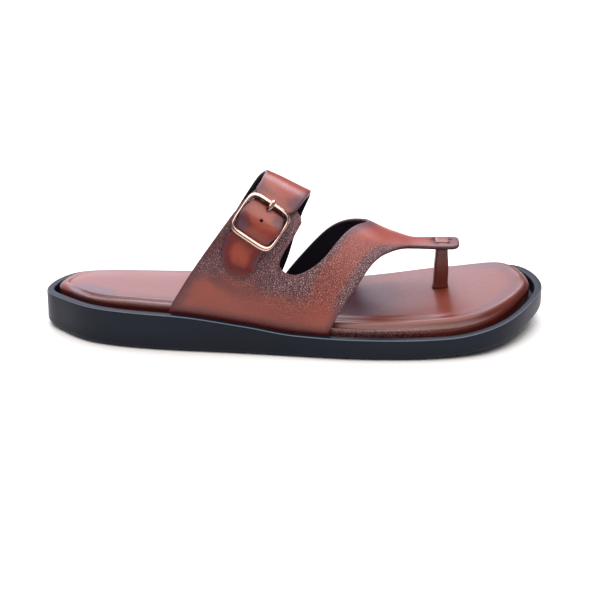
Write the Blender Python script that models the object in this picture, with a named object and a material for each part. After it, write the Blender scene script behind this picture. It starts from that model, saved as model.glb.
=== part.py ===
"""Toe-post leather sandal with a buckled instep strap, right shoe.

Lengths are in metres. The toe points to +X, the inner (medial) side to +Y and
up is +Z. The origin is on the floor, under the middle of the sole.

The shoe is built on a last. A point of the last is named by its station, the
share of the shoe's length from the heel, and by its girth, which is 0 on the
ridge, -1 where the outer side meets the rim of the sole and +1 where the inner
side does. The leather pieces are outlines drawn in station and girth.
"""
import math
from collections import namedtuple

import bmesh
import bpy
import numpy as np
from mathutils import Vector
from mathutils.geometry import delaunay_2d_cdt

# Sole
LENGTH = 0.2880          # outsole, heel to toe
WIDTH = 0.1014           # outsole, at its widest
RIM_HEIGHT = 0.0225      # top of the rim above the floor, at the toe
RIM_LEAN = 0.0019        # how much lower the rim is along the inner side
TOE_SPRING = 0.0093      # the bottom's rise at the toe
EDGE_ROUND = 0.0040      # radius of the bottom edge
RIM_WIDTH = 0.0045       # thickness of the rim that holds the footbed
RIM_ROUND = 0.0010       # radius on both edges of the rim
CUP_DEPTH = 0.0070       # from the rim down to the floor of the cup

# Footbed
FOOTBED_CROWN = 0.0082   # rise of the padded toe above the rim
FOOTBED_SHOULDER = 0.0052    # plan width of the rounded edge
FOOTBED_DISH = 0.0018    # hollow for the heel
FOOTBED_EASE = 0.0010    # radius of its lower edge
FOOTBED_SIDE_RISE = 0.0006   # upright side above the level of the rim
SOCKET_DEPTH = 0.0060    # how far the toe post goes into the footbed

# Leather
UPPER_WALL = 0.0023      # lined leather of the upper
STRAP_WALL = 0.0022      # instep strap
STRAP_WIDTH = 0.0285     # instep strap where it crosses the ridge
INSTEP_HEIGHT = 0.1010   # inside of the last at its ridge, at the back edge of the upper
GAP = 0.0003             # clearance between pieces that meet

# Toe post
POST_WIDTH = 0.0082      # across the post, both ways
POST_STATION = 0.7975    # share of the LENGTH from the heel
SLIT_SPACING = 0.0070    # from one slit of the tongue to the other
TAB_WALL = 0.0012        # leather tab that goes through each slit
TAB_ROOT = 0.0015        # how far the tabs go down into the post

# Buckle
FRAME_ACROSS = 0.0280    # outside of the frame, across the strap
FRAME_ALONG = 0.0268     # outside of the frame, along the strap
FRAME_THICK = 0.0022     # frame, at right angles to the strap
FRAME_SQUARENESS = 5.6   # 2 is an ellipse, more is closer to a rectangle
END_BAR = 0.0028         # width of the bars that cross the strap
SIDE_BAR = 0.0019        # width of the bars beside the strap
CENTRE_BAR = 0.0016      # diameter of the bar under the strap
PRONG = 0.0012           # diameter of the prong where it hooks the bar
PRONG_WIDTH = 0.0020     # its width where it lies on the end bar
PRONG_OVERHANG = 0.0018  # prong past the end bar
HOLE_WIDTH = 0.0020      # slot that the prong comes through
HUMP_REACH = 0.0130      # the strap is back on the quarter this far from the centre bar
BAR_BEND = 0.0013        # how far inside the frame the centre bar's ends bend up to it
PRONG_BEND = (0.55, 0.35)    # where the prong bends up, shares of its run and of its rise

# The outline's half widths as shares of half the WIDTH
Outline = namedtuple("Outline", "station medial lateral")
OUTLINE = [
    Outline(0.03, 0.426, 0.219),
    Outline(0.08, 0.576, 0.466),
    Outline(0.15, 0.613, 0.623),
    Outline(0.25, 0.619, 0.730),
    Outline(0.37, 0.639, 0.805),
    Outline(0.50, 0.675, 0.901),
    Outline(0.60, 0.797, 0.974),
    Outline(0.70, 0.935, 1.000),
    Outline(0.80, 1.000, 0.968),
    Outline(0.88, 0.963, 0.838),
    Outline(0.94, 0.874, 0.570),
    Outline(0.98, 0.621, 0.237),
]
HEEL_TIP = 0.045         # sideways place of the heel's end, share of half the WIDTH
TOE_TIP = 0.098          # sideways place of the toe's end, share of half the WIDTH

# Heights along the sole: rim as a share of RIM_HEIGHT, its fall to the inner
# side of RIM_LEAN, bottom of TOE_SPRING, footbed above the rim of
# FOOTBED_CROWN and hollow of FOOTBED_DISH
Level = namedtuple("Level", "station rim lean bottom crown dish")
LEVELS = [
    Level(0.00, 0.960, 0.0, 0.086, 0.50, 0.2),
    Level(0.08, 1.018, 0.6, 0.000, 0.52, 0.6),
    Level(0.25, 0.996, 0.9, 0.000, 0.50, 1.0),
    Level(0.40, 0.791, 0.6, 0.000, 0.49, 0.6),
    Level(0.50, 0.618, 0.3, 0.000, 0.49, 0.4),
    Level(0.60, 0.582, 0.6, 0.000, 0.53, 0.6),
    Level(0.70, 0.580, 0.8, 0.000, 0.62, 0.8),
    Level(0.80, 0.600, 0.4, 0.107, 0.74, 0.8),
    Level(0.90, 0.742, 0.0, 0.323, 0.80, 0.4),
    Level(1.00, 1.000, 0.0, 1.000, 0.86, 0.0),
]

# Ridge of the last: height as a share of INSTEP_HEIGHT, sideways place as a
# share of half the WIDTH, and how full each side's arch is
Ridge = namedtuple("Ridge", "station height offset lateral medial")
RIDGE = [
    Ridge(0.240, 1.099, 0.043, 1.95, 2.10),
    Ridge(0.344, 1.000, 0.043, 1.95, 2.10),
    Ridge(0.448, 0.875, 0.063, 1.90, 2.10),
    Ridge(0.535, 0.741, 0.083, 1.90, 2.10),
    Ridge(0.646, 0.582, 0.122, 1.90, 2.10),
    Ridge(0.698, 0.499, 0.172, 1.90, 2.10),
    Ridge(0.743, 0.452, 0.225, 1.90, 2.00),
    Ridge(0.795, 0.442, 0.284, 1.90, 2.00),
    Ridge(0.837, 0.440, 0.288, 1.90, 2.00),
    Ridge(0.917, 0.396, 0.290, 1.90, 2.00),
]

# Edges of the upper, each a smooth curve, in order round the piece. BASE is
# the lower edge, tucked between the rim and the footbed.
BASE = 1.06
Edge = namedtuple("Edge", "name rows")
UPPER_EDGES = [
    Edge("back of the quarter", [
        (0.246, -BASE), (0.258, -0.960), (0.274, -0.870), (0.298, -0.744),
        (0.345, -0.513), (0.390, -0.294), (0.421, -0.156)]),
    Edge("top under the strap", [(0.421, -0.156), (0.503, -0.203)]),
    Edge("clipped corner", [(0.503, -0.203), (0.5087, -0.229), (0.5115, -0.271)]),
    Edge("notch and back of the front strap", [
        (0.5115, -0.271), (0.494, -0.400), (0.472, -0.545), (0.472, -0.603),
        (0.489, -0.627), (0.509, -0.611), (0.547, -0.508), (0.583, -0.321),
        (0.622, -0.094), (0.644, 0.060), (0.634, 0.210), (0.617, 0.275),
        (0.581, 0.404), (0.553, 0.540), (0.512, 0.760), (0.479, 0.938), (0.464, BASE)]),
    Edge("inner base", [(0.464, BASE), (0.615, BASE)]),
    Edge("front of the inner arm", [
        (0.615, BASE), (0.626, 0.850), (0.643, 0.650), (0.668, 0.450),
        (0.692, 0.310), (0.717, 0.210), (0.742, 0.152), (0.768, 0.132), (0.819, 0.136)]),
    Edge("tip", [(0.819, 0.136), (0.829, 0.107), (0.832, 0.0), (0.829, -0.100),
                 (0.819, -0.128)]),
    Edge("front of the outer arm", [
        (0.819, -0.128), (0.778, -0.122), (0.741, -0.107), (0.718, -0.147),
        (0.698, -0.220), (0.658, -0.402), (0.619, -0.645), (0.602, -0.738),
        (0.574, -0.928), (0.561, -BASE)]),
    Edge("outer base", [(0.561, -BASE), (0.246, -BASE)]),
]

# Rows of the instep strap from the inner side to the free end: place, half of
# its reach along the shoe as a share of STRAP_WIDTH, and the girth by which
# its front edge lies further down the outer side
Row = namedtuple("Row", "station girth reach turn")
STRAP_ROWS = [
    Row(0.378, BASE, 0.807, 0.000),
    Row(0.411, 0.800, 0.746, 0.000),
    Row(0.436, 0.565, 0.662, 0.000),
    Row(0.458, 0.362, 0.586, 0.000),
    Row(0.475, 0.180, 0.524, 0.000),
    Row(0.482, 0.050, 0.450, 0.000),
    Row(0.471, -0.103, 0.418, 0.010),
    Row(0.4575, -0.197, 0.372, 0.036),
    Row(0.450, -0.240, 0.276, 0.032),
    Row(0.430, -0.360, 0.330, 0.034),
    Row(0.410, -0.474, 0.276, 0.036),
    Row(0.401, -0.515, 0.334, 0.036),
    Row(0.392, -0.590, 0.333, 0.030),
    Row(0.390, -0.712, 0.333, -0.012),
]
BUCKLE_ROW = 9           # the strap row that lies over the centre bar
TAIL_ROW = 12            # the free end is rounded from this row on
TAIL_FULLNESS = 2.2      # 2 is a half circle, more is blunter
TAIL_TURN = 0.97         # share of the tail's quarter turn at which the last section stands

# Rings of the post's foot: height above the footbed, width as a share of POST_WIDTH
Flare = namedtuple("Flare", "rise size")
POST_FLARE = [Flare(0.0004, 1.25), Flare(0.0016, 1.16), Flare(0.0034, 1.04), Flare(0.0090, 1.03)]

# How finely the pieces are cut up
STATIONS = 40            # cross sections of the sole and the footbed
HALF_GIRTH = 0.0950      # length that stands for a girth of 1 where the upper is laid out flat
LEATHER_GRID = 0.0060    # spacing of points inside the upper
LEATHER_EDGE = 0.0034    # spacing of points along its edges
STRAP_COARSE = 0.0055    # spacing of the strap's cross sections
STRAP_FINE = 0.0022      # the same inside the buckle

# Finishes: colour (sRGB hex), roughness, metallic
FINISHES = {
    "black sole rubber": ("22262F", 0.45, 0.0),
    "footbed leather": ("8A4A3C", 0.50, 0.0),
    "grained leather": ("9A5543", 0.55, 0.0),
    "smooth leather": ("94503F", 0.42, 0.0),
    "rolled leather": ("5A2A28", 0.48, 0.0),
    "antique brass": ("B08070", 0.30, 1.0),
}


def monotone(knots, values, at):
    """Cubic through the knots that never overshoots them."""
    knots, values = np.asarray(knots, float), np.asarray(values, float)
    step = np.diff(knots)
    slope = np.diff(values) / step
    tangent = np.zeros(len(knots))
    tangent[0], tangent[-1] = slope[0], slope[-1]
    weight_a, weight_b = 2 * step[1:] + step[:-1], step[1:] + 2 * step[:-1]
    same_sign = slope[:-1] * slope[1:] > 0
    safe_a = np.where(same_sign, slope[:-1], 1.0)
    safe_b = np.where(same_sign, slope[1:], 1.0)
    mean = (weight_a + weight_b) / (weight_a / safe_a + weight_b / safe_b)
    tangent[1:-1] = np.where(same_sign, mean, 0.0)
    at = np.clip(np.asarray(at, float), knots[0], knots[-1])
    i = np.clip(np.searchsorted(knots, at) - 1, 0, len(step) - 1)
    t = (at - knots[i]) / step[i]
    return ((1 + 2 * t) * (1 - t) ** 2 * values[i] + t * (1 - t) ** 2 * step[i] * tangent[i]
            + t * t * (3 - 2 * t) * values[i + 1] - t * t * (1 - t) * step[i] * tangent[i + 1])


def column(table, name, station):
    """One column of a station table, read at any station."""
    return monotone([row.station for row in table], [getattr(row, name) for row in table], station)


def spline(points, count, closed=False):
    """Smooth curve through the points, sampled at count even lengths."""
    points = np.asarray(points, float)
    if closed:
        points = np.vstack([points[-3:], points, points[:4]])
    chord = np.sqrt(np.linalg.norm(np.diff(points, axis=0), axis=1))
    knots = np.concatenate([[0.0], np.cumsum(chord)])
    n = len(knots)
    matrix, right = np.eye(n), np.zeros((n, points.shape[1]))
    for i in range(1, n - 1):
        before, after = chord[i - 1], chord[i]
        matrix[i, i - 1:i + 2] = (before, 2 * (before + after), after)
        right[i] = 6 * ((points[i + 1] - points[i]) / after - (points[i] - points[i - 1]) / before)
    bend = np.linalg.solve(matrix, right)
    first, last = (3, n - 4) if closed else (0, n - 1)
    at = np.linspace(knots[first], knots[last], 24 * (last - first) + 1)
    i = np.clip(np.searchsorted(knots, at) - 1, 0, n - 2)
    h, a, b = chord[i][:, None], (knots[i + 1] - at)[:, None], (at - knots[i])[:, None]
    curve = ((bend[i] * a ** 3 + bend[i + 1] * b ** 3) / (6 * h)
             + (points[i] / h - bend[i] * h / 6) * a + (points[i + 1] / h - bend[i + 1] * h / 6) * b)
    length = np.concatenate([[0.0], np.cumsum(np.linalg.norm(np.diff(curve, axis=0), axis=1))])
    even = np.linspace(0, length[-1], count)
    return np.stack([np.interp(even, length, curve[:, k]) for k in range(curve.shape[1])], axis=1)


def station_of(x):
    return np.asarray(x) / LENGTH + 0.5


def sole_outline():
    """Dense closed plan outline of the sole, heel tip first, outer side first."""
    half = WIDTH / 2
    outer = [((row.station - 0.5) * LENGTH, -row.lateral * half) for row in OUTLINE]
    inner = [((row.station - 0.5) * LENGTH, row.medial * half) for row in reversed(OUTLINE)]
    tips = [(-LENGTH / 2, HEEL_TIP * half)], [(LENGTH / 2, TOE_TIP * half)]
    return spline(tips[0] + outer + tips[1] + inner, 1601, closed=True)[:-1]


SOLE_OUTLINE = sole_outline()


def inset_sides(inset):
    """The outline moved inwards, as an outer and an inner side from heel to toe."""
    tangent = np.roll(SOLE_OUTLINE, -1, axis=0) - np.roll(SOLE_OUTLINE, 1, axis=0)
    tangent /= np.linalg.norm(tangent, axis=1)[:, None]
    moved = SOLE_OUTLINE + inset * np.stack([-tangent[:, 1], tangent[:, 0]], axis=1)
    heel, toe = int(np.argmin(moved[:, 0])), int(np.argmax(moved[:, 0]))
    moved = np.roll(moved, -heel, axis=0)
    toe = (toe - heel) % len(moved)
    return moved[:toe + 1], np.vstack([moved[toe:], moved[:1]])[::-1]


def inset_ring(inset):
    """Points of the moved outline: up the outer side and back down the inner one."""
    outer, inner = inset_sides(inset)
    share = (1 - np.cos(np.linspace(0, math.pi, STATIONS + 1))) / 2
    x = outer[0, 0] + share * (outer[-1, 0] - outer[0, 0])
    up = np.stack([x, np.interp(x, outer[:, 0], outer[:, 1])], axis=1)
    down = np.stack([x, np.interp(x, inner[:, 0], inner[:, 1])], axis=1)
    return np.vstack([up, down[-2:0:-1]])


def rim_height(x, y):
    """Top of the rim, or of the plane that its two sides carry."""
    inward = np.clip((np.asarray(y) / (WIDTH / 2) + 0.2) / 0.7, 0, 1)
    lean = RIM_LEAN * column(LEVELS, "lean", station_of(x)) * inward * inward * (3 - 2 * inward)
    return RIM_HEIGHT * column(LEVELS, "rim", station_of(x)) - lean


def bottom_height(x):
    return TOE_SPRING * column(LEVELS, "bottom", station_of(x))


def footbed_height(x, y, across=0.0):
    """Top of the footbed; across runs from -1 to 1 between its shoulders."""
    station = station_of(x)
    crown = FOOTBED_CROWN * column(LEVELS, "crown", station)
    hollow = FOOTBED_DISH * column(LEVELS, "dish", station)
    return rim_height(x, y) + crown - hollow * (1 - np.asarray(across) ** 2)


# Where things stand between the rim and the footbed, as insets from the outline
UPPER_OUTSIDE = RIM_WIDTH + GAP
LAST_BASE = UPPER_OUTSIDE + UPPER_WALL
FOOTBED_SIDE = LAST_BASE + GAP
TUCK = CUP_DEPTH - 2 * GAP
LAST_SIDES = inset_sides(LAST_BASE)


def last_point(station, girth):
    """Points on the last, the inner face of the leather."""
    station, girth = np.broadcast_arrays(np.asarray(station, float), np.asarray(girth, float))
    x = (station - 0.5) * LENGTH
    top = INSTEP_HEIGHT * column(RIDGE, "height", station)
    middle = WIDTH / 2 * column(RIDGE, "offset", station)
    turn = np.linspace(0, math.pi / 2, 90)
    y, z = np.empty(x.shape), np.empty(x.shape)
    for side, name in ((0, "lateral"), (1, "medial")):
        here = (girth < 0) if side == 0 else (girth >= 0)
        if not here.any():
            continue
        power = 2 / column(RIDGE, name, station[here])[:, None]
        base = np.interp(x[here], LAST_SIDES[side][:, 0], LAST_SIDES[side][:, 1])
        arch_y = middle[here][:, None] + (base - middle[here])[:, None] * np.sin(turn) ** power
        rim = rim_height(x[here], base)[:, None]
        arch_z = rim + (top[here][:, None] - rim) * np.cos(turn) ** power
        walk = np.cumsum(np.hypot(np.diff(arch_y), np.diff(arch_z)), axis=1)
        walk = np.hstack([np.zeros((len(walk), 1)), walk]) / walk[:, -1:]
        share = np.abs(girth[here])
        y[here] = [np.interp(s, w, v) for s, w, v in zip(share, walk, arch_y)]
        z[here] = [np.interp(s, w, v) for s, w, v in zip(share, walk, arch_z)]
    below = np.maximum(np.abs(girth) - 1, 0) / (BASE - 1)
    return np.stack([x, y, z - below * TUCK], axis=-1)


def last_normal(station, girth):
    """Direction out of the last."""
    step, slide = 0.0020, 0.006
    ahead = last_point(station + step, girth) - last_point(station - step, girth)
    round_ = last_point(station, girth + slide) - last_point(station, girth - slide)
    normal = np.cross(ahead, round_)
    return normal / np.linalg.norm(normal, axis=-1, keepdims=True)


def on_last(station, girth, height):
    """Points at a height above the last."""
    station, girth = np.asarray(station, float), np.asarray(girth, float)
    lift = np.asarray(height, float)[..., None]
    return last_point(station, girth) + last_normal(station, girth) * lift


def linear(hex_colour):
    """Linear colour of an sRGB hex value."""
    channels = [int(hex_colour[i:i + 2], 16) / 255 for i in (0, 2, 4)]
    return [c / 12.92 if c <= 0.04045 else ((c + 0.055) / 1.055) ** 2.4 for c in channels] + [1.0]


def finish(name):
    """The material of one finish, made once."""
    material = bpy.data.materials.get(name)
    if material is None:
        material = bpy.data.materials.new(name)
        material.use_nodes = True
        shader = material.node_tree.nodes["Principled BSDF"]
        colour, roughness, metallic = FINISHES[name]
        shader.inputs["Base Color"].default_value = linear(colour)
        shader.inputs["Roughness"].default_value = roughness
        shader.inputs["Metallic"].default_value = metallic
    return material


def add_solid(name, vertices, faces, material):
    """A closed body with its faces out."""
    mesh = bpy.data.meshes.new(name)
    mesh.from_pydata([tuple(v) for v in vertices], [], [tuple(f) for f in faces])
    body = bmesh.new()
    body.from_mesh(mesh)
    bmesh.ops.triangulate(body, faces=body.faces)
    bmesh.ops.recalc_face_normals(body, faces=body.faces)
    body.to_mesh(mesh)
    body.free()
    mesh.shade_smooth()
    mesh.set_sharp_from_angle(angle=math.radians(35))
    mesh.materials.append(finish(material))
    solid = bpy.data.objects.new(name, mesh)
    bpy.context.scene.collection.objects.link(solid)
    return solid


def combine(solid, tool, operation):
    """Adds a Boolean with a tool, which is hidden from the build."""
    tool.hide_render = True
    tool.display_type = "WIRE"
    change = solid.modifiers.new(tool.name, "BOOLEAN")
    change.operation = operation
    change.solver = "EXACT"
    change.object = tool


def rings_to_faces(rings, count, closed=False):
    """Quads between rings of count points each."""
    faces = []
    for r in range(rings if closed else rings - 1):
        here, there = r * count, (r + 1) % rings * count
        faces += [(here + i, here + (i + 1) % count, there + (i + 1) % count, there + i)
                  for i in range(count)]
    return faces


def ladder(start, count):
    """Fills a ring of the sole with rungs from its outer to its inner side."""
    def at(i):
        return start + i % count
    middle = [(at(i), at(i + 1), at(-i - 1), at(-i)) for i in range(1, count // 2 - 1)]
    half = count // 2
    return [(at(0), at(1), at(-1))] + middle + [(at(half - 1), at(half), at(half + 1))]


def lofted_sole(profile):
    """Vertices of rings from pairs of inset and height function."""
    rings = []
    for inset, height in profile:
        ring = inset_ring(inset)
        rings.append(np.column_stack([ring, height(ring[:, 0], ring[:, 1])]))
    return np.vstack(rings)


def quarter_round(radius_in, radius_up, steps):
    """Steps of a quarter ellipse: shares run from flat on top to upright."""
    turns = np.linspace(0, math.pi / 2, steps + 1)
    return [(radius_in * (1 - math.sin(t)), radius_up * (1 - math.cos(t))) for t in turns]


def make_outsole():
    """One cup of black rubber: flat tread, sprung toe, raised rim."""
    def over_bottom(rise):
        return lambda x, y: bottom_height(x) + rise

    def under_rim(drop):
        return lambda x, y: rim_height(x, y) - drop

    profile = [(inset, over_bottom(rise)) for inset, rise in quarter_round(EDGE_ROUND, EDGE_ROUND, 3)]
    outside = quarter_round(RIM_ROUND, RIM_ROUND, 2)
    profile += [(inset, under_rim(drop)) for inset, drop in reversed(outside)]
    profile += [(RIM_WIDTH - inset, under_rim(drop)) for inset, drop in outside]
    profile.append((RIM_WIDTH, under_rim(CUP_DEPTH)))
    count = 2 * STATIONS
    faces = rings_to_faces(len(profile), count)
    faces += ladder(0, count) + ladder((len(profile) - 1) * count, count)
    return add_solid("outsole", lofted_sole(profile), faces, "black sole rubber")


def post_base():
    """Where the post stands: under the middle of the tongue's two slits."""
    return last_point(np.array([POST_STATION]), np.array([0.0]))[0]


def make_footbed():
    """Padded insole wrapped in leather, with a rounded edge and a post socket."""
    side_height = CUP_DEPTH - GAP + FOOTBED_SIDE_RISE

    def over_floor(rise):
        return lambda x, y: rim_height(x, y) - CUP_DEPTH + GAP + rise

    def shoulder(share):
        def height(x, y):
            low = rim_height(x, y) - CUP_DEPTH + GAP + side_height
            return low + share * (footbed_height(x, y, 1.0) - low)
        return height

    profile = [(FOOTBED_SIDE + FOOTBED_EASE, over_floor(0.0)),
               (FOOTBED_SIDE, over_floor(FOOTBED_EASE))]
    for inset, drop in reversed(quarter_round(FOOTBED_SHOULDER, 1.0, 4)):
        profile.append((FOOTBED_SIDE + inset, shoulder(1.0 - drop)))
    count = 2 * STATIONS
    faces = rings_to_faces(len(profile), count) + ladder(0, count)
    vertices = list(lofted_sole(profile))
    ring = (len(profile) - 1) * count
    columns = [-0.75, -0.4, 0.0, 0.4, 0.75]
    rungs = {}
    for i in range(1, STATIONS):
        outer, inner = np.array(vertices[ring + i]), np.array(vertices[ring + count - i])
        middle = []
        for across in columns:
            point = outer + (inner - outer) * (across + 1) / 2
            point[2] = footbed_height(point[0], point[1], across)
            middle.append(len(vertices))
            vertices.append(point)
        rungs[i] = [ring + i] + middle + [ring + count - i]
    for i in range(1, STATIONS - 1):
        low, high = rungs[i], rungs[i + 1]
        faces += [(low[k], high[k], high[k + 1], low[k + 1]) for k in range(len(low) - 1)]
    for tip, rung in ((ring, rungs[1]), (ring + STATIONS, rungs[STATIONS - 1])):
        faces += [(tip, rung[k], rung[k + 1]) for k in range(len(rung) - 1)]
    footbed = add_solid("footbed", vertices, faces, "footbed leather")

    base = post_base()
    floor = float(footbed_height(base[0], base[1])) - SOCKET_DEPTH
    half = POST_WIDTH / 2 + GAP
    combine(footbed, rounded_post("socket cutter", base, half, floor, RIM_HEIGHT + FOOTBED_CROWN),
            "DIFFERENCE")
    return footbed


def rounded_square(half, corner=0.45, steps=5):
    """Plan points of a square with round corners; corner is a share of half."""
    radius = corner * half
    points = []
    for quarter in range(4):
        for k in range(steps):
            turn = math.pi / 2 * (quarter + k / (steps - 1))
            centre = math.pi / 4 + math.pi / 2 * quarter
            reach = (half - radius) * math.sqrt(2)
            points.append((reach * math.cos(centre) + radius * math.cos(turn),
                           reach * math.sin(centre) + radius * math.sin(turn)))
    return points


def rounded_post(name, base, half, low, high):
    """Straight upright prism with round corners."""
    plan = rounded_square(half)
    vertices = [(base[0] + px, base[1] + py, z) for z in (low, high) for px, py in plan]
    count = len(plan)
    faces = rings_to_faces(2, count)
    faces += [tuple(range(count)), tuple(range(count, 2 * count))]
    return add_solid(name, vertices, faces, "rolled leather")


def edge_points(edges):
    """The piece's outline in station and girth, evenly stepped along each edge."""
    outline = []
    for edge in edges:
        rows = np.array(edge.rows, float)
        scale = np.array([LENGTH, HALF_GIRTH])
        dense = spline(rows * scale, 400)
        length = np.linalg.norm(np.diff(dense, axis=0), axis=1).sum()
        count = max(2, int(round(length / LEATHER_EDGE)) + 1)
        outline.append(spline(rows * scale, count)[:-1])
    return np.vstack(outline)


def inside(points, loop):
    """Which points lie inside a closed loop, and how far each is from it."""
    ahead = np.roll(loop, -1, axis=0)
    x, y = points[:, :1], points[:, 1:]
    spans = (loop[:, 1] > y) != (ahead[:, 1] > y)
    rise = np.where(ahead[:, 1] == loop[:, 1], 1.0, ahead[:, 1] - loop[:, 1])
    cross = x < loop[:, 0] + (y - loop[:, 1]) / rise * (ahead[:, 0] - loop[:, 0])
    run = ahead - loop
    share = ((points[:, None] - loop) * run).sum(2) / (run ** 2).sum(1)
    near = loop + np.clip(share, 0, 1)[..., None] * run
    distance = np.linalg.norm(points[:, None] - near, axis=2).min(1)
    return (spans & cross).sum(1) % 2 == 1, distance


def leather_sheet(loops, grid):
    """Triangles that fill the first loop and leave the others open."""
    low, high = loops[0].min(0), loops[0].max(0)
    counts = np.ceil((high - low) / grid).astype(int)
    across = [np.linspace(low[k], high[k], counts[k] + 1) for k in (0, 1)]
    points = np.stack(np.meshgrid(*across, indexing="ij"), axis=-1).reshape(-1, 2)
    keep, distance = inside(points, loops[0])
    keep &= distance > grid * 0.5
    for hole in loops[1:]:
        within, distance = inside(points, hole)
        keep &= ~within & (distance > grid * 0.3)
    points = points[keep]
    edges, start = [], 0
    for loop in loops:
        edges += [(start + i, start + (i + 1) % len(loop)) for i in range(len(loop))]
        start += len(loop)
    flat = [Vector(p) for p in np.vstack(loops + [points])]
    result = delaunay_2d_cdt(flat, edges, [], 1, 1e-7)
    corners, triangles = np.array([tuple(v) for v in result[0]]), np.array([tuple(f) for f in result[2]])
    middles = corners[triangles].mean(axis=1)
    open_ = np.zeros(len(triangles), bool)
    for hole in loops[1:]:
        open_ |= inside(middles, hole)[0]
    return corners, triangles[~open_].tolist()


def thicken(inner, outer, triangles):
    """Closes two matching sheets into one wall."""
    count = len(inner)
    faces = [tuple(t) for t in triangles]
    edges = {(t[k], t[(k + 1) % 3]) for t in faces for k in range(3)}
    rim = [(a, b) for a, b in edges if (b, a) not in edges]
    closed = [tuple(count + i for i in t) for t in faces]
    closed += [tuple(reversed(t)) for t in faces]
    closed += [(a, b, count + b, count + a) for a, b in rim]
    return np.vstack([inner, outer]), closed


def slit_loops():
    """The two slits of the tongue, in scaled station and girth."""
    base = post_base()
    half_wide = TAB_WALL / 2 + 2 * GAP
    half_long = POST_WIDTH / 2 + GAP
    loops = []
    for side in (-1, 1):
        x = base[0] + LENGTH / 2 + side * SLIT_SPACING / 2
        corners = [(-half_wide, -half_long), (half_wide, -half_long),
                   (half_wide, half_long), (-half_wide, half_long)]
        loops.append(np.array([(x + px, HALF_GIRTH * girth_beside(POST_STATION, py))
                               for px, py in corners]))
    return loops


def girth_beside(station, distance):
    """Girth of a point that lies a distance from the ridge, positive to the inner side."""
    side = math.copysign(1.0, distance)
    points = last_point(np.full(60, station), side * np.linspace(0.0, 1.0, 60))
    return distance / float(np.linalg.norm(np.diff(points, axis=0), axis=1).sum())


def make_upper():
    """Quarter, front strap, inner arm and tongue, cut from one lined hide."""
    flat, triangles = leather_sheet([edge_points(UPPER_EDGES)] + slit_loops(), LEATHER_GRID)
    station, girth = flat[:, 0] / LENGTH, flat[:, 1] / HALF_GIRTH
    inner = on_last(station, girth, np.zeros(len(flat)))
    outer = on_last(station, girth, np.full(len(flat), UPPER_WALL))
    vertices, faces = thicken(inner, outer, triangles)
    return add_solid("upper", vertices, faces, "grained leather")


def strap_middle(count=241):
    """The strap's rows between its table rows, and the distance from the buckle."""
    rows = np.array([tuple(row) for row in STRAP_ROWS], float)
    centre = last_point(rows[:, 0], rows[:, 1])
    walk = np.concatenate([[0.0], np.cumsum(np.linalg.norm(np.diff(centre, axis=0), axis=1))])
    walk -= walk[BUCKLE_ROW]
    along = np.linspace(walk[0], walk[-1], count)
    dense = np.stack([monotone(walk, rows[:, k], along) for k in range(4)], axis=1)
    return along, dense, walk


def strap_lift(girth, along):
    """Height of the strap's underside above the last."""
    over_quarter = UPPER_WALL + GAP
    fade = np.clip((0.75 - girth) / 0.55, 0, 1)
    lift = over_quarter * fade * fade * (3 - 2 * fade)
    reach = np.clip(1 - (along / HUMP_REACH) ** 2, 0, 1)
    return lift + HUMP * reach ** 1.5


# How the buckle is stacked over the last, from the quarter outwards
CENTRE_BAR_HEIGHT = UPPER_WALL + GAP + 0.0001 + CENTRE_BAR / 2
HOOK_RADIUS = CENTRE_BAR / 2 + 0.00025 + PRONG / 2
HUMP = CENTRE_BAR_HEIGHT + HOOK_RADIUS + PRONG / 2 + GAP - (UPPER_WALL + GAP)
BAR_PLACE = (FRAME_ALONG - END_BAR) / 2


def stretch(start, end, step):
    """Even places from start to end, without the end itself."""
    return np.linspace(start, end, max(1, round((end - start) / step)) + 1)[:-1]


def make_instep_strap():
    """Smooth strap from the inner rim, over the instep, through the buckle."""
    along, dense, walk = strap_middle()
    tail, end = walk[TAIL_ROW], walk[-1]
    buckle = HUMP_REACH + STRAP_FINE
    places = [stretch(walk[0], -buckle, STRAP_COARSE), stretch(-buckle, buckle, STRAP_FINE),
              stretch(buckle, tail, STRAP_COARSE),
              tail + (end - tail) * np.sin(np.linspace(0, TAIL_TURN * math.pi / 2, 8))]
    places = np.concatenate(places)
    row = np.stack([np.interp(places, along, dense[:, k]) for k in range(4)], axis=1)
    past = np.clip((places - tail) / (end - tail), 0, 1)
    round_end = (1 - past ** TAIL_FULLNESS) ** (1 / TAIL_FULLNESS)
    shares = np.linspace(-1, 1, 7)
    half = (row[:, 2] * STRAP_WIDTH / LENGTH * round_end)[:, None]
    station = row[:, :1] + half * shares
    girth = row[:, 1:2] - (row[:, 3] * round_end)[:, None] * shares
    lift = np.broadcast_to(strap_lift(row[:, 1], places)[:, None], station.shape)
    inner = on_last(station, girth, lift)
    outer = on_last(station, girth, lift + STRAP_WALL)
    count = len(shares)
    triangles = []
    for r in range(len(places) - 1):
        for k in range(count - 1):
            a, b = r * count + k, (r + 1) * count + k
            triangles += [(a, a + 1, b + 1), (a, b + 1, b)]
    vertices, faces = thicken(inner.reshape(-1, 3), outer.reshape(-1, 3), triangles)
    strap = add_solid("instep_strap", vertices, faces, "smooth leather")

    centre, axes = buckle_frame_axes()
    half, far = HOLE_WIDTH / 2, BAR_PLACE - END_BAR / 2 - HOLE_WIDTH / 2
    slot = [(-half, 0.0), (half, 0.0), (half, far), (-half, far)]
    low, high = CENTRE_BAR_HEIGHT, CENTRE_BAR_HEIGHT + HUMP + 3 * STRAP_WALL
    vertices = [to_world(centre, axes, (u, v, n)) for n in (low, high) for u, v in slot]
    faces = rings_to_faces(2, 4) + [(0, 1, 2, 3), (4, 5, 6, 7)]
    combine(strap, add_solid("prong slot cutter", vertices, faces, "smooth leather"), "DIFFERENCE")
    return strap


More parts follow.
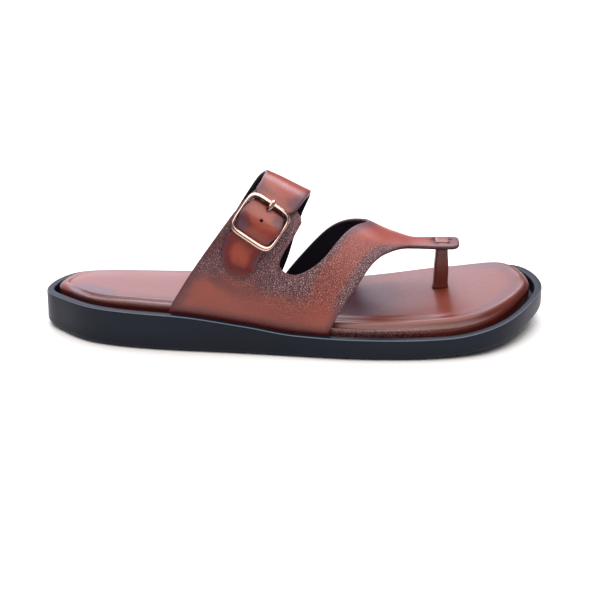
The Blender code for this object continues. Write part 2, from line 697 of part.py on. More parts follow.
def buckle_frame_axes():
    """Place on the last under the centre bar, with axes across, along and out."""
    row = STRAP_ROWS[BUCKLE_ROW]
    station, girth = np.array([row.station]), np.array([row.girth])
    centre = last_point(station, girth)[0]
    out = last_normal(station, girth)[0]
    above, below = STRAP_ROWS[BUCKLE_ROW - 1], STRAP_ROWS[BUCKLE_ROW + 1]
    along = (last_point(above.station, above.girth) - last_point(below.station, below.girth))
    along -= out * along.dot(out)
    along /= np.linalg.norm(along)
    return centre, (np.cross(along, out), along, out)


def to_world(centre, axes, local):
    return centre + sum(axis * value for axis, value in zip(axes, local))


def frame_height():
    """Middle of the frame above its place, so that its end bars clear the strap."""
    centre, axes = buckle_frame_axes()
    along, dense, walk = strap_middle()
    heights = []
    for place in [side * (BAR_PLACE + part * END_BAR / 2) for side in (-1, 1) for part in (-1, 0, 1)]:
        row = [np.interp(place, along, dense[:, k]) for k in range(4)]
        for share in (-1, -0.5, 0, 0.5, 1):
            station = row[0] + share * row[2] * STRAP_WIDTH / LENGTH
            girth = row[1] - share * row[3]
            lift = strap_lift(row[1], place) + STRAP_WALL
            point = on_last(np.array([station]), np.array([girth]), np.array([lift]))[0]
            heights.append((point - centre).dot(axes[2]))
    return max(heights) + GAP + FRAME_THICK / 2


def make_buckle_frame():
    """Cast frame with thick end bars, slim sides and a bar across its middle."""
    centre, axes = buckle_frame_axes()
    height = frame_height()
    steps, sides = 44, 8
    power = 2 / FRAME_SQUARENESS
    half_across, half_along = (FRAME_ACROSS - SIDE_BAR) / 2, (FRAME_ALONG - END_BAR) / 2
    turns = np.linspace(0, 2 * math.pi, 721)
    path = np.stack([half_across * np.sign(np.cos(turns)) * np.abs(np.cos(turns)) ** power,
                     half_along * np.sign(np.sin(turns)) * np.abs(np.sin(turns)) ** power], axis=1)
    walk = np.concatenate([[0.0], np.cumsum(np.linalg.norm(np.diff(path, axis=0), axis=1))])
    even = np.linspace(0, walk[-1], steps + 1)[:-1]
    path = np.stack([np.interp(even, walk, path[:, k]) for k in (0, 1)], axis=1)
    tangent = np.roll(path, -1, axis=0) - np.roll(path, 1, axis=0)
    tangent /= np.linalg.norm(tangent, axis=1)[:, None]
    vertices = []
    for (u, v), (tu, tv) in zip(path, tangent):
        share = abs(tu) ** 2
        half_wide = (SIDE_BAR + (END_BAR - SIDE_BAR) * share) / 2
        for k in range(sides):
            turn = 2 * math.pi * (k + 0.5) / sides
            side, up = half_wide * math.cos(turn), FRAME_THICK / 2 * math.sin(turn)
            vertices.append(to_world(centre, axes, (u + tv * side, v - tu * side, height + up)))
    frame = add_solid("buckle_frame", vertices, rings_to_faces(steps, sides, closed=True),
                      "antique brass")
    bar_end, shoulder = half_across, half_across - BAR_BEND
    drop = [(-bar_end, height), (-shoulder, CENTRE_BAR_HEIGHT), (shoulder, CENTRE_BAR_HEIGHT),
            (bar_end, height)]
    rings = []
    for (u, n), lean in zip(drop, (0.5, 0.25, -0.25, -0.5)):
        for k in range(10):
            turn = 2 * math.pi * k / 10
            side, up = CENTRE_BAR / 2 * math.cos(turn), CENTRE_BAR / 2 * math.sin(turn)
            rings.append(to_world(centre, axes, (u + up * lean, side, n + up)))
    faces = rings_to_faces(len(drop), 10)
    faces += [tuple(range(10)), tuple(range(30, 40))]
    combine(frame, add_solid("centre bar", rings, faces, "antique brass"), "UNION")
    return frame


def make_buckle_prong():
    """Prong hooked on the centre bar, up through the strap and over the end bar."""
    centre, axes = buckle_frame_axes()
    top = frame_height() + FRAME_THICK / 2 + GAP + PRONG / 2
    turns = np.linspace(math.pi, math.pi / 2, 5)
    path = [(HOOK_RADIUS * math.cos(t), CENTRE_BAR_HEIGHT + HOOK_RADIUS * math.sin(t)) for t in turns]
    start = CENTRE_BAR_HEIGHT + HOOK_RADIUS
    inner_edge, outer_edge = BAR_PLACE - END_BAR / 2, BAR_PLACE + END_BAR / 2
    run, rise = PRONG_BEND
    path += [(inner_edge * run, start + (top - start) * rise), (inner_edge - PRONG / 2, top),
             (BAR_PLACE, top), (outer_edge + PRONG_OVERHANG / 2, top),
             (outer_edge + PRONG_OVERHANG, top - PRONG / 2)]
    path = np.array(path)
    tangent = np.gradient(path, axis=0)
    tangent /= np.linalg.norm(tangent, axis=1)[:, None]
    sides = 8
    vertices = []
    for i, ((v, n), (tv, tn)) in enumerate(zip(path, tangent)):
        tip = 0.6 if i == len(path) - 1 else 1.0
        half_wide = (PRONG_WIDTH if v > BAR_PLACE / 2 + PRONG_WIDTH else PRONG) / 2 * tip
        for k in range(sides):
            turn = 2 * math.pi * k / sides
            side, up = half_wide * math.cos(turn), PRONG / 2 * tip * math.sin(turn)
            vertices.append(to_world(centre, axes, (side, v - tn * up, n + tv * up)))
    faces = rings_to_faces(len(path), sides)
    last = (len(path) - 1) * sides
    faces += [tuple(range(sides)), tuple(range(last, last + sides))]
    return add_solid("buckle_prong", vertices, faces, "antique brass")


def make_toe_post():
    """Rolled leather post with a strip that goes over the tongue through two slits."""
    base = post_base()
    spread = np.linspace(-1, 1, 5)
    plan = np.array([(i, j) for i in spread for j in spread])
    station = POST_STATION + plan[:, 0] * (SLIT_SPACING + TAB_WALL) / 2 / LENGTH
    girth = np.array([girth_beside(POST_STATION, j * POST_WIDTH / 2) for j in plan[:, 1]])
    under = float(last_point(station, girth)[:, 2].min()) - GAP
    over = float(on_last(station, girth, np.full(len(plan), UPPER_WALL))[:, 2].max()) + GAP
    foot = float(footbed_height(base[0], base[1])) - SOCKET_DEPTH + GAP

    half = POST_WIDTH / 2
    outline = np.array(rounded_square(1.0))
    foot_half = half * POST_FLARE[0].size
    ground = GAP + footbed_height(base[0] + outline[:, 0] * foot_half,
                                  base[1] + outline[:, 1] * foot_half)
    rings = [np.column_stack([base[:2] + outline * half, np.full(len(outline), foot)]),
             np.column_stack([base[:2] + outline * half, ground + GAP])]
    for rise, size in POST_FLARE:
        rings.append(np.column_stack([base[:2] + outline * half * size, ground + GAP + rise]))
    head_x, head_y = (SLIT_SPACING + TAB_WALL) / 2, POST_WIDTH / 2
    rings.append(np.column_stack([base[:2] + outline * (head_x, head_y),
                                  np.full(len(outline), under)]))
    count = len(outline)
    faces = rings_to_faces(len(rings), count)
    last = (len(rings) - 1) * count
    faces += [tuple(range(count)), tuple(range(last, last + count))]
    post = add_solid("toe_post", np.vstack(rings), faces, "rolled leather")

    hole_x = (SLIT_SPACING - TAB_WALL) / 2
    root = under - TAB_ROOT
    outer = [(-head_x, root), (head_x, root), (head_x, over + TAB_WALL), (-head_x, over + TAB_WALL)]
    inner = [(-hole_x, under), (hole_x, under), (hole_x, over), (-hole_x, over)]
    corner_free = 0.97 * head_y
    vertices = [(base[0] + x, base[1] + y, z) for y in (-corner_free, corner_free)
                for x, z in outer + inner]
    faces = []
    for k in range(4):
        n = (k + 1) % 4
        faces += [(k, n, 4 + n, 4 + k), (8 + k, 8 + n, 12 + n, 12 + k)]
        faces += [(k, n, 8 + n, 8 + k), (4 + k, 4 + n, 12 + n, 12 + k)]
    combine(post, add_solid("strip over the tongue", vertices, faces, "rolled leather"), "UNION")
    return post


def main():
    for item in list(bpy.data.objects):
        bpy.data.objects.remove(item, do_unlink=True)
    make_outsole()
    make_footbed()
    make_upper()
    make_instep_strap()
    make_toe_post()
    make_buckle_frame()
    make_buckle_prong()


main()
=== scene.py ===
# %% [markdown]
# # A leather toe-post sandal
# This lesson dresses the fixed frame of one right sandal: a black moulded sole, a padded footbed, a
# pebbled upper cut from one hide, a smooth instep strap and an antique buckle. Each step first says what
# the piece or finish is on the real shoe, then how it could be made, and why it is made the way it is.
# Lengths are in metres. The toe is at +X, the inner side at +Y and up is +Z.

# %% Load the frame
import math
from collections import namedtuple

import bmesh
import bpy
import numpy as np
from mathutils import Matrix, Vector
from mathutils.geometry import delaunay_2d_cdt


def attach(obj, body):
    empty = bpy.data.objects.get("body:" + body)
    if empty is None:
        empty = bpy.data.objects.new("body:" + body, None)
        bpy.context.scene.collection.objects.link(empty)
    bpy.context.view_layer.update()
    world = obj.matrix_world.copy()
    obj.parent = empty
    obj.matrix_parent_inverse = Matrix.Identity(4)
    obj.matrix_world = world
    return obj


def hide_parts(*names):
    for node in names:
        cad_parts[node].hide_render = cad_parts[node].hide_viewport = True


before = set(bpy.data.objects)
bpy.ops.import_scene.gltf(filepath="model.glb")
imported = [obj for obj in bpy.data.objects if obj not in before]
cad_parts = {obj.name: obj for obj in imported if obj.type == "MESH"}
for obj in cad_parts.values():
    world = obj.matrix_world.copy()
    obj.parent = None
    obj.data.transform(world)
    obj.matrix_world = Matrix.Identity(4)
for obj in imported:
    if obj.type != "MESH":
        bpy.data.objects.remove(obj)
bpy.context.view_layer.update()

# %% [markdown]
# ## The last
# A shoe is built on a last, a block with the shape of the foot. Modelling each leather piece by hand in
# space would be slow, and the pieces would not nest. So every piece is drawn flat on the last instead, by
# its station, the share of the shoe's length from the heel, and its girth, which is 0 on the ridge, -1 at
# the outer rim and +1 at the inner rim. The tables hold shares of the named sizes.

# %% Sizes of the sole, the last and the leather
LENGTH = 0.2880
WIDTH = 0.1014
RIM_HEIGHT = 0.0225
RIM_LEAN = 0.0019
TOE_SPRING = 0.0093
EDGE_ROUND = 0.0040
RIM_WIDTH = 0.0045
RIM_ROUND = 0.0010
CUP_DEPTH = 0.0070
FOOTBED_CROWN = 0.0082
FOOTBED_SHOULDER = 0.0052
FOOTBED_DISH = 0.0018
UPPER_WALL = 0.0023
STRAP_WALL = 0.0022
STRAP_WIDTH = 0.0285
INSTEP_HEIGHT = 0.1010
GAP = 0.0003
HALF_GIRTH = 0.0950      # length that stands for a girth of 1 where leather is laid out flat

Outline = namedtuple("Outline", "station medial lateral")
OUTLINE = [Outline(*row) for row in (
    (0.03, 0.426, 0.219), (0.08, 0.576, 0.466), (0.15, 0.613, 0.623), (0.25, 0.619, 0.730),
    (0.37, 0.639, 0.805), (0.50, 0.675, 0.901), (0.60, 0.797, 0.974), (0.70, 0.935, 1.000),
    (0.80, 1.000, 0.968), (0.88, 0.963, 0.838), (0.94, 0.874, 0.570), (0.98, 0.621, 0.237))]
HEEL_TIP = 0.045
TOE_TIP = 0.098

Level = namedtuple("Level", "station rim lean bottom crown dish")
LEVELS = [Level(*row) for row in (
    (0.00, 0.960, 0.0, 0.086, 0.50, 0.2), (0.08, 1.018, 0.6, 0.000, 0.52, 0.6),
    (0.25, 0.996, 0.9, 0.000, 0.50, 1.0), (0.40, 0.791, 0.6, 0.000, 0.49, 0.6),
    (0.50, 0.618, 0.3, 0.000, 0.49, 0.4), (0.60, 0.582, 0.6, 0.000, 0.53, 0.6),
    (0.70, 0.580, 0.8, 0.000, 0.62, 0.8), (0.80, 0.600, 0.4, 0.107, 0.74, 0.8),
    (0.90, 0.742, 0.0, 0.323, 0.80, 0.4), (1.00, 1.000, 0.0, 1.000, 0.86, 0.0))]

Ridge = namedtuple("Ridge", "station height offset lateral medial")
RIDGE = [Ridge(*row) for row in (
    (0.240, 1.099, 0.043, 1.95, 2.10), (0.344, 1.000, 0.043, 1.95, 2.10),
    (0.448, 0.875, 0.063, 1.90, 2.10), (0.535, 0.741, 0.083, 1.90, 2.10),
    (0.646, 0.582, 0.122, 1.90, 2.10), (0.698, 0.499, 0.172, 1.90, 2.10),
    (0.743, 0.452, 0.225, 1.90, 2.00), (0.795, 0.442, 0.284, 1.90, 2.00),
    (0.837, 0.440, 0.288, 1.90, 2.00), (0.917, 0.396, 0.290, 1.90, 2.00))]


# %% Curves through table values
def monotone(knots, values, at):
    """Cubic through the knots that never overshoots them."""
    knots, values = np.asarray(knots, float), np.asarray(values, float)
    step = np.diff(knots)
    slope = np.diff(values) / step
    tangent = np.zeros(len(knots))
    tangent[0], tangent[-1] = slope[0], slope[-1]
    weight_a, weight_b = 2 * step[1:] + step[:-1], step[1:] + 2 * step[:-1]
    same_sign = slope[:-1] * slope[1:] > 0
    safe_a = np.where(same_sign, slope[:-1], 1.0)
    safe_b = np.where(same_sign, slope[1:], 1.0)
    mean = (weight_a + weight_b) / (weight_a / safe_a + weight_b / safe_b)
    tangent[1:-1] = np.where(same_sign, mean, 0.0)
    at = np.clip(np.asarray(at, float), knots[0], knots[-1])
    i = np.clip(np.searchsorted(knots, at) - 1, 0, len(step) - 1)
    t = (at - knots[i]) / step[i]
    return ((1 + 2 * t) * (1 - t) ** 2 * values[i] + t * (1 - t) ** 2 * step[i] * tangent[i]
            + t * t * (3 - 2 * t) * values[i + 1] - t * t * (1 - t) * step[i] * tangent[i + 1])


def column(table, name, station):
    """One column of a station table, read at any station."""
    return monotone([row.station for row in table], [getattr(row, name) for row in table], station)


def walked(points):
    """Length along a line of points, from the first."""
    return np.concatenate([[0.0], np.cumsum(np.linalg.norm(np.diff(points, axis=0), axis=1))])


def even_steps(points, count):
    """The line through the points, stepped evenly."""
    length = walked(points)
    even = np.linspace(0, length[-1], count)
    return np.stack([np.interp(even, length, values) for values in points.T], axis=1)


def to_left(loop, step=1):
    """Directions to the left of a closed loop."""
    along = np.roll(loop, -step, axis=0) - np.roll(loop, step, axis=0)
    along /= np.linalg.norm(along, axis=1)[:, None]
    return np.stack([-along[:, 1], along[:, 0]], axis=1)


def spline(points, count, closed=False):
    """Smooth curve through the points, sampled at count even lengths."""
    points = np.asarray(points, float)
    if closed:
        points = np.vstack([points[-3:], points, points[:4]])
    chord = np.sqrt(np.linalg.norm(np.diff(points, axis=0), axis=1))
    knots = np.concatenate([[0.0], np.cumsum(chord)])
    n = len(knots)
    matrix, right = np.eye(n), np.zeros((n, points.shape[1]))
    for i in range(1, n - 1):
        before, after = chord[i - 1], chord[i]
        matrix[i, i - 1:i + 2] = (before, 2 * (before + after), after)
        right[i] = 6 * ((points[i + 1] - points[i]) / after - (points[i] - points[i - 1]) / before)
    bend = np.linalg.solve(matrix, right)
    first, last = (3, n - 4) if closed else (0, n - 1)
    at = np.linspace(knots[first], knots[last], 40 * (last - first) + 1)
    i = np.clip(np.searchsorted(knots, at) - 1, 0, n - 2)
    h, a, b = chord[i][:, None], (knots[i + 1] - at)[:, None], (at - knots[i])[:, None]
    curve = ((bend[i] * a ** 3 + bend[i + 1] * b ** 3) / (6 * h)
             + (points[i] / h - bend[i] * h / 6) * a + (points[i + 1] / h - bend[i + 1] * h / 6) * b)
    return even_steps(curve, count)


def smoothstep(start, end, value):
    """A soft step from 0 at the start to 1 at the end, which may be the lower of the two."""
    share = np.clip((np.asarray(value, float) - start) / (end - start), 0, 1)
    return share * share * (3 - 2 * share)


def bell(value, centre, width):
    """1 at the centre, falling to nothing a few widths away."""
    return np.exp(-((np.asarray(value, float) - centre) / width) ** 2)


def station_of(x):
    return np.asarray(x) / LENGTH + 0.5


print("curves pass through", len(OUTLINE), "widths and", len(RIDGE), "ridge heights")


# %% Plan outline and heights of the sole
def sole_outline():
    half = WIDTH / 2
    outer = [((row.station - 0.5) * LENGTH, -row.lateral * half) for row in OUTLINE]
    inner = [((row.station - 0.5) * LENGTH, row.medial * half) for row in reversed(OUTLINE)]
    tips = [(-LENGTH / 2, HEEL_TIP * half)], [(LENGTH / 2, TOE_TIP * half)]
    return spline(tips[0] + outer + tips[1] + inner, 1601, closed=True)[:-1]


SOLE_OUTLINE = sole_outline()


def inset_sides(inset):
    """The outline moved inwards, as an outer and an inner side from heel to toe."""
    moved = SOLE_OUTLINE + inset * to_left(SOLE_OUTLINE)
    heel, toe = int(np.argmin(moved[:, 0])), int(np.argmax(moved[:, 0]))
    moved = np.roll(moved, -heel, axis=0)
    toe = (toe - heel) % len(moved)
    return moved[:toe + 1], np.vstack([moved[toe:], moved[:1]])[::-1]


def inset_ring(inset, stations):
    """Points of the moved outline: up the outer side and back down the inner one."""
    outer, inner = inset_sides(inset)
    share = (1 - np.cos(np.linspace(0, math.pi, stations + 1))) / 2
    x = outer[0, 0] + share * (outer[-1, 0] - outer[0, 0])
    up, down = [np.stack([x, np.interp(x, *side.T)], axis=1) for side in (outer, inner)]
    return np.vstack([up, down[-2:0:-1]])


def rim_height(x, y):
    """Top of the rim, or of the plane that its two sides carry."""
    inward = np.clip((np.asarray(y) / (WIDTH / 2) + 0.2) / 0.7, 0, 1)
    lean = RIM_LEAN * column(LEVELS, "lean", station_of(x)) * inward * inward * (3 - 2 * inward)
    return RIM_HEIGHT * column(LEVELS, "rim", station_of(x)) - lean


def bottom_height(x):
    return TOE_SPRING * column(LEVELS, "bottom", station_of(x))


def footbed_height(x, y, across=0.0):
    """Top of the footbed; across runs from -1 to 1 between its shoulders."""
    station = station_of(x)
    crown = FOOTBED_CROWN * column(LEVELS, "crown", station)
    hollow = FOOTBED_DISH * column(LEVELS, "dish", station)
    return rim_height(x, y) + crown - hollow * (1 - np.asarray(across) ** 2)


LAST_BASE = RIM_WIDTH + GAP + UPPER_WALL
FOOTBED_SIDE = LAST_BASE + GAP
TUCK = CUP_DEPTH - 2 * GAP
BASE = 1.06              # girth of the lower edge of the leather, tucked beside the footbed
LAST_SIDES = inset_sides(LAST_BASE)
print("footbed is", round(2000 * FOOTBED_SIDE, 1), "mm narrower than the sole")


# %% Points on the last
def last_point(station, girth):
    """Points on the last, the inner face of the leather."""
    station, girth = np.broadcast_arrays(np.asarray(station, float), np.asarray(girth, float))
    shape = station.shape
    station, girth = station.ravel(), girth.ravel()
    x = (station - 0.5) * LENGTH
    top = INSTEP_HEIGHT * column(RIDGE, "height", station)
    middle = WIDTH / 2 * column(RIDGE, "offset", station)
    turn = np.linspace(0, math.pi / 2, 90)
    y, z = np.empty(x.shape), np.empty(x.shape)
    for side, name in ((0, "lateral"), (1, "medial")):
        here = (girth < 0) if side == 0 else (girth >= 0)
        if not here.any():
            continue
        power = 2 / column(RIDGE, name, station[here])[:, None]
        base = np.interp(x[here], LAST_SIDES[side][:, 0], LAST_SIDES[side][:, 1])
        arch_y = middle[here][:, None] + (base - middle[here])[:, None] * np.sin(turn) ** power
        rim = rim_height(x[here], base)[:, None]
        arch_z = rim + (top[here][:, None] - rim) * np.cos(turn) ** power
        walk = np.cumsum(np.hypot(np.diff(arch_y), np.diff(arch_z)), axis=1)
        walk = np.hstack([np.zeros((len(walk), 1)), walk]) / walk[:, -1:]
        share = np.abs(girth[here])
        y[here] = [np.interp(s, w, v) for s, w, v in zip(share, walk, arch_y)]
        z[here] = [np.interp(s, w, v) for s, w, v in zip(share, walk, arch_z)]
    below = np.maximum(np.abs(girth) - 1, 0) / (BASE - 1)
    return np.stack([x, y, z - below * TUCK], axis=-1).reshape(shape + (3,))


def last_normal(station, girth):
    """Direction out of the last."""
    step, slide = 0.0020, 0.006
    ahead = last_point(station + step, girth) - last_point(station - step, girth)
    round_ = last_point(station, girth + slide) - last_point(station, girth - slide)
    normal = np.cross(ahead, round_)
    return normal / np.linalg.norm(normal, axis=-1, keepdims=True)


def on_last(station, girth, height):
    """Points at a height above the last."""
    station, girth = np.asarray(station, float), np.asarray(girth, float)
    return last_point(station, girth) + last_normal(station, girth) * np.asarray(height, float)[..., None]


print("ridge over the instep at", on_last([0.448], [0.0], [0.0])[0].round(4))

# %% [markdown]
# ## Tools of the lesson
# A finish is a small node tree and a piece is a mesh made from arrays of points. Two helpers make the
# nodes and the materials, and the others make closed pieces and put them on the frame. The dark burnish,
# the pebbling, the shade painted into folds and edges, and the highlights painted on the sole's rim and the
# buckle follow the pattern of a piece, not its place in space, so the meshes carry them as attributes
# from 0 to 1 and the finishes read them.


# %% Colours and nodes
def linear(hex_colour):
    """Linear colour of an sRGB hex value."""
    channels = [int(hex_colour[i:i + 2], 16) / 255 for i in (0, 2, 4)]
    return [c / 12.92 if c <= 0.04045 else ((c + 0.055) / 1.055) ** 2.4 for c in channels] + [1.0]


def add_node(tree, kind, inputs, output=0, **settings):
    """Adds a node with its settings and its inputs, values or links, and gives one output."""
    node = tree.nodes.new("ShaderNode" + kind)
    for name, value in settings.items():
        setattr(node, name, value)
    for key, value in inputs.items():
        if isinstance(value, bpy.types.NodeSocket):
            tree.links.new(value, node.inputs[key])
        else:
            node.inputs[key].default_value = value
    return node.outputs[output]


def new_finish(name, constants):
    """A material with constants on the shader's own sockets, its tree and the place on the piece."""
    material = bpy.data.materials.new(name)
    material.use_nodes = True
    tree = material.node_tree
    for key, value in constants.items():
        tree.nodes["Principled BSDF"].inputs[key].default_value = value
    return material, tree, add_node(tree, "TexCoord", {}, "Object")


def shade(material, patterns):
    """Links the patterns of a finish to its shader."""
    tree = material.node_tree
    for key, socket in patterns.items():
        tree.links.new(socket, tree.nodes["Principled BSDF"].inputs[key])
    print("finish:", material.name)
    return material


# %% Pieces
def add_piece(name, vertices, faces, finishes, slots=None, fields=None, node=None, record_slot=None):
    """Makes a closed piece, faces out and smooth, and puts it on the frame in its node's place."""
    mesh = bpy.data.meshes.new(name)
    mesh.from_pydata(np.asarray(vertices, float).tolist(), [], [tuple(int(i) for i in f) for f in faces])
    for finish in finishes:
        mesh.materials.append(finish)
    if slots is not None:
        mesh.polygons.foreach_set("material_index", np.asarray(slots, np.int32))
    for field, values in (fields or {}).items():
        layer = mesh.attributes.new(field, "FLOAT", "POINT")
        layer.data.foreach_set("value", np.clip(values, 0, 1).astype(np.float32))
    body = bmesh.new()
    body.from_mesh(mesh)
    bmesh.ops.recalc_face_normals(body, faces=body.faces)
    body.to_mesh(mesh)
    body.free()
    mesh.shade_smooth()
    mesh.set_sharp_from_angle(angle=math.radians(50))
    piece = bpy.data.objects.new(name, mesh)
    bpy.context.scene.collection.objects.link(piece)
    if record_slot:
        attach(piece, "root")
    if node:
        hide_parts(node)
    print(name, "has", len(mesh.polygons), "faces")
    return piece


def ring_faces(rings, count, closed=False):
    """Quads between rings of count points each."""
    faces = []
    for r in range(rings if closed else rings - 1):
        here, there = r * count, (r + 1) % rings * count
        faces += [(here + i, here + (i + 1) % count, there + (i + 1) % count, there + i)
                  for i in range(count)]
    return faces


def capped(rings, count):
    """Quads between rings, with a cap on the first and on the last."""
    last = (rings - 1) * count
    return ring_faces(rings, count) + [tuple(range(count)), tuple(range(last, last + count))]


def ladder(start, count):
    """Fills a ring of the sole with rungs from its outer to its inner side."""
    def at(i):
        return start + i % count
    half = count // 2
    middle = [(at(i), at(i + 1), at(-i - 1), at(-i)) for i in range(1, half - 1)]
    return [(at(0), at(1), at(-1))] + middle + [(at(half - 1), at(half), at(half + 1))]


def around(steps, start=0.0):
    """Angles of a full turn."""
    return np.linspace(start, 2 * math.pi + start, steps + 1)[:-1]


def squared_off(value, power):
    """A sine or cosine raised to a power with its sign kept, which makes a circle squarer."""
    return np.copysign(np.abs(value) ** power, value)


def quarter_round(radius_in, radius_up, steps):
    """Insets and drops of a quarter ellipse, from flat on top to upright."""
    turns = np.linspace(0, math.pi / 2, steps + 1)
    return [(radius_in * (1 - math.sin(t)), radius_up * (1 - math.cos(t))) for t in turns]


print("a ring of 4 rungs has", len(ladder(0, 8)), "faces")

# %% [markdown]
# ## Sole finish: moulded polyurethane
# The sole is poured into a spark-eroded mould, which leaves a satin, blue-black skin with a fine even
# tooth. Its light comes back dull because the tooth scatters it, so the specular level is lower than that
# of a polished plastic. The tooth is 0.3 mm, drawn coarser than the real 0.05 mm so that it shows.


# %% Polyurethane
TOOTH = 0.0003


def polyurethane():
    material, tree, where = new_finish("moulded black polyurethane", {
        "IOR": 1.5, "Specular IOR Level": 0.16})
    tooth, cloud = [add_node(tree, "TexNoise", {"Vector": where, "Scale": scale, "Detail": 3.0})
                    for scale in (1 / TOOTH, 60.0)]
    polish_and_sheen = add_node(tree, "Attribute", {}, "Fac", attribute_name="polish_and_sheen")
    colour = linear("0B111C")
    # The grey-blue tone is a painted highlight along the rim's rounded outer edge; the cloud gives the black
    # a random tone.
    for share, tone in ((cloud, "111826"), (polish_and_sheen, "6A7380")):
        colour = add_node(tree, "Mix", {0: share, 6: colour, 7: linear(tone)}, 2, data_type="RGBA")
    rough = add_node(tree, "Math", {0: cloud, 1: 0.14, 2: 0.30}, operation="MULTIPLY_ADD")
    bump = add_node(tree, "Bump", {"Strength": 0.35, "Distance": 0.00005, "Height": tooth})
    return shade(material, {"Base Color": colour, "Roughness": rough, "Normal": bump})


POLYURETHANE = polyurethane()

# %% [markdown]
# ## Sole
# The sole is one cup: a flat tread that springs up at the toe, an upright wall, and a rim with soft edges
# that holds the footbed. It could be cut from a block. A loft of insets of one outline is used, because
# it gives the even wall and the rounded edges that a mould has.

# %% Sole cup
SOLE_STATIONS = 150
RIM_SHEEN = 0.8              # painted highlight along the outer edge of the rim


def lofted(profile, stations):
    """Rings from pairs of inset and height function."""
    rings = [(inset_ring(inset, stations), height) for inset, height in profile]
    return np.vstack([np.column_stack([ring, height(*ring.T)]) for ring, height in rings])


def make_sole():
    def over_bottom(rise):
        return lambda x, y: bottom_height(x) + rise

    def under_rim(drop):
        return lambda x, y: rim_height(x, y) - drop

    lip = quarter_round(RIM_ROUND, RIM_ROUND, 5)
    profile = [(inset, over_bottom(rise)) for inset, rise in quarter_round(EDGE_ROUND, EDGE_ROUND, 7)]
    sheen_rows = (len(profile) + 2, len(profile) + 3)
    profile += [(inset, under_rim(drop)) for inset, drop in reversed(lip)]
    profile += [(RIM_WIDTH - inset, under_rim(drop)) for inset, drop in lip]
    profile.append((RIM_WIDTH, under_rim(CUP_DEPTH)))
    count = 2 * SOLE_STATIONS
    faces = ring_faces(len(profile), count)
    faces += ladder(0, count) + ladder((len(profile) - 1) * count, count)
    # The rows of the rim's rounded outer edge carry a painted highlight.
    polish_and_sheen = np.repeat([RIM_SHEEN * (row in sheen_rows) for row in range(len(profile))], count)
    return add_piece("sole_cup", lofted(profile, SOLE_STATIONS), faces, [POLYURETHANE],
                     fields={"polish_and_sheen": polish_and_sheen}, node="outsole", record_slot="sole")


sole_cup = make_sole()

# %% [markdown]
# ## Leather finish: burnished full-grain hide
# The hide is dyed red-brown, plated smooth or left pebbled, and then burnished by hand: dark wax stays
# along edges, and the tops of the pebbles are rubbed back. The dark in the creases, on the rounded cut
# edges and low beside the rim is painted shade. A photograph could be laid over it, but nodes keep the
# pebbles at their true size everywhere. A Voronoi pattern, whose cells meet in sharp valleys, is the
# closest match for pebbles, and a little noise bends the cells so that no row shows. Wax makes the light
# bounce twice, so the smooth leathers also get a thin coat.

# %% Burnished hide
PEBBLE = 0.00118         # mean width of a pebble
PORE = 0.00045           # fine wrinkles, drawn a little coarser than real ones so that they show
VALLEY = "2A1216"        # wax that is left between the pebbles
Dye = namedtuple("Dye", "base light red dark deep rubbed")


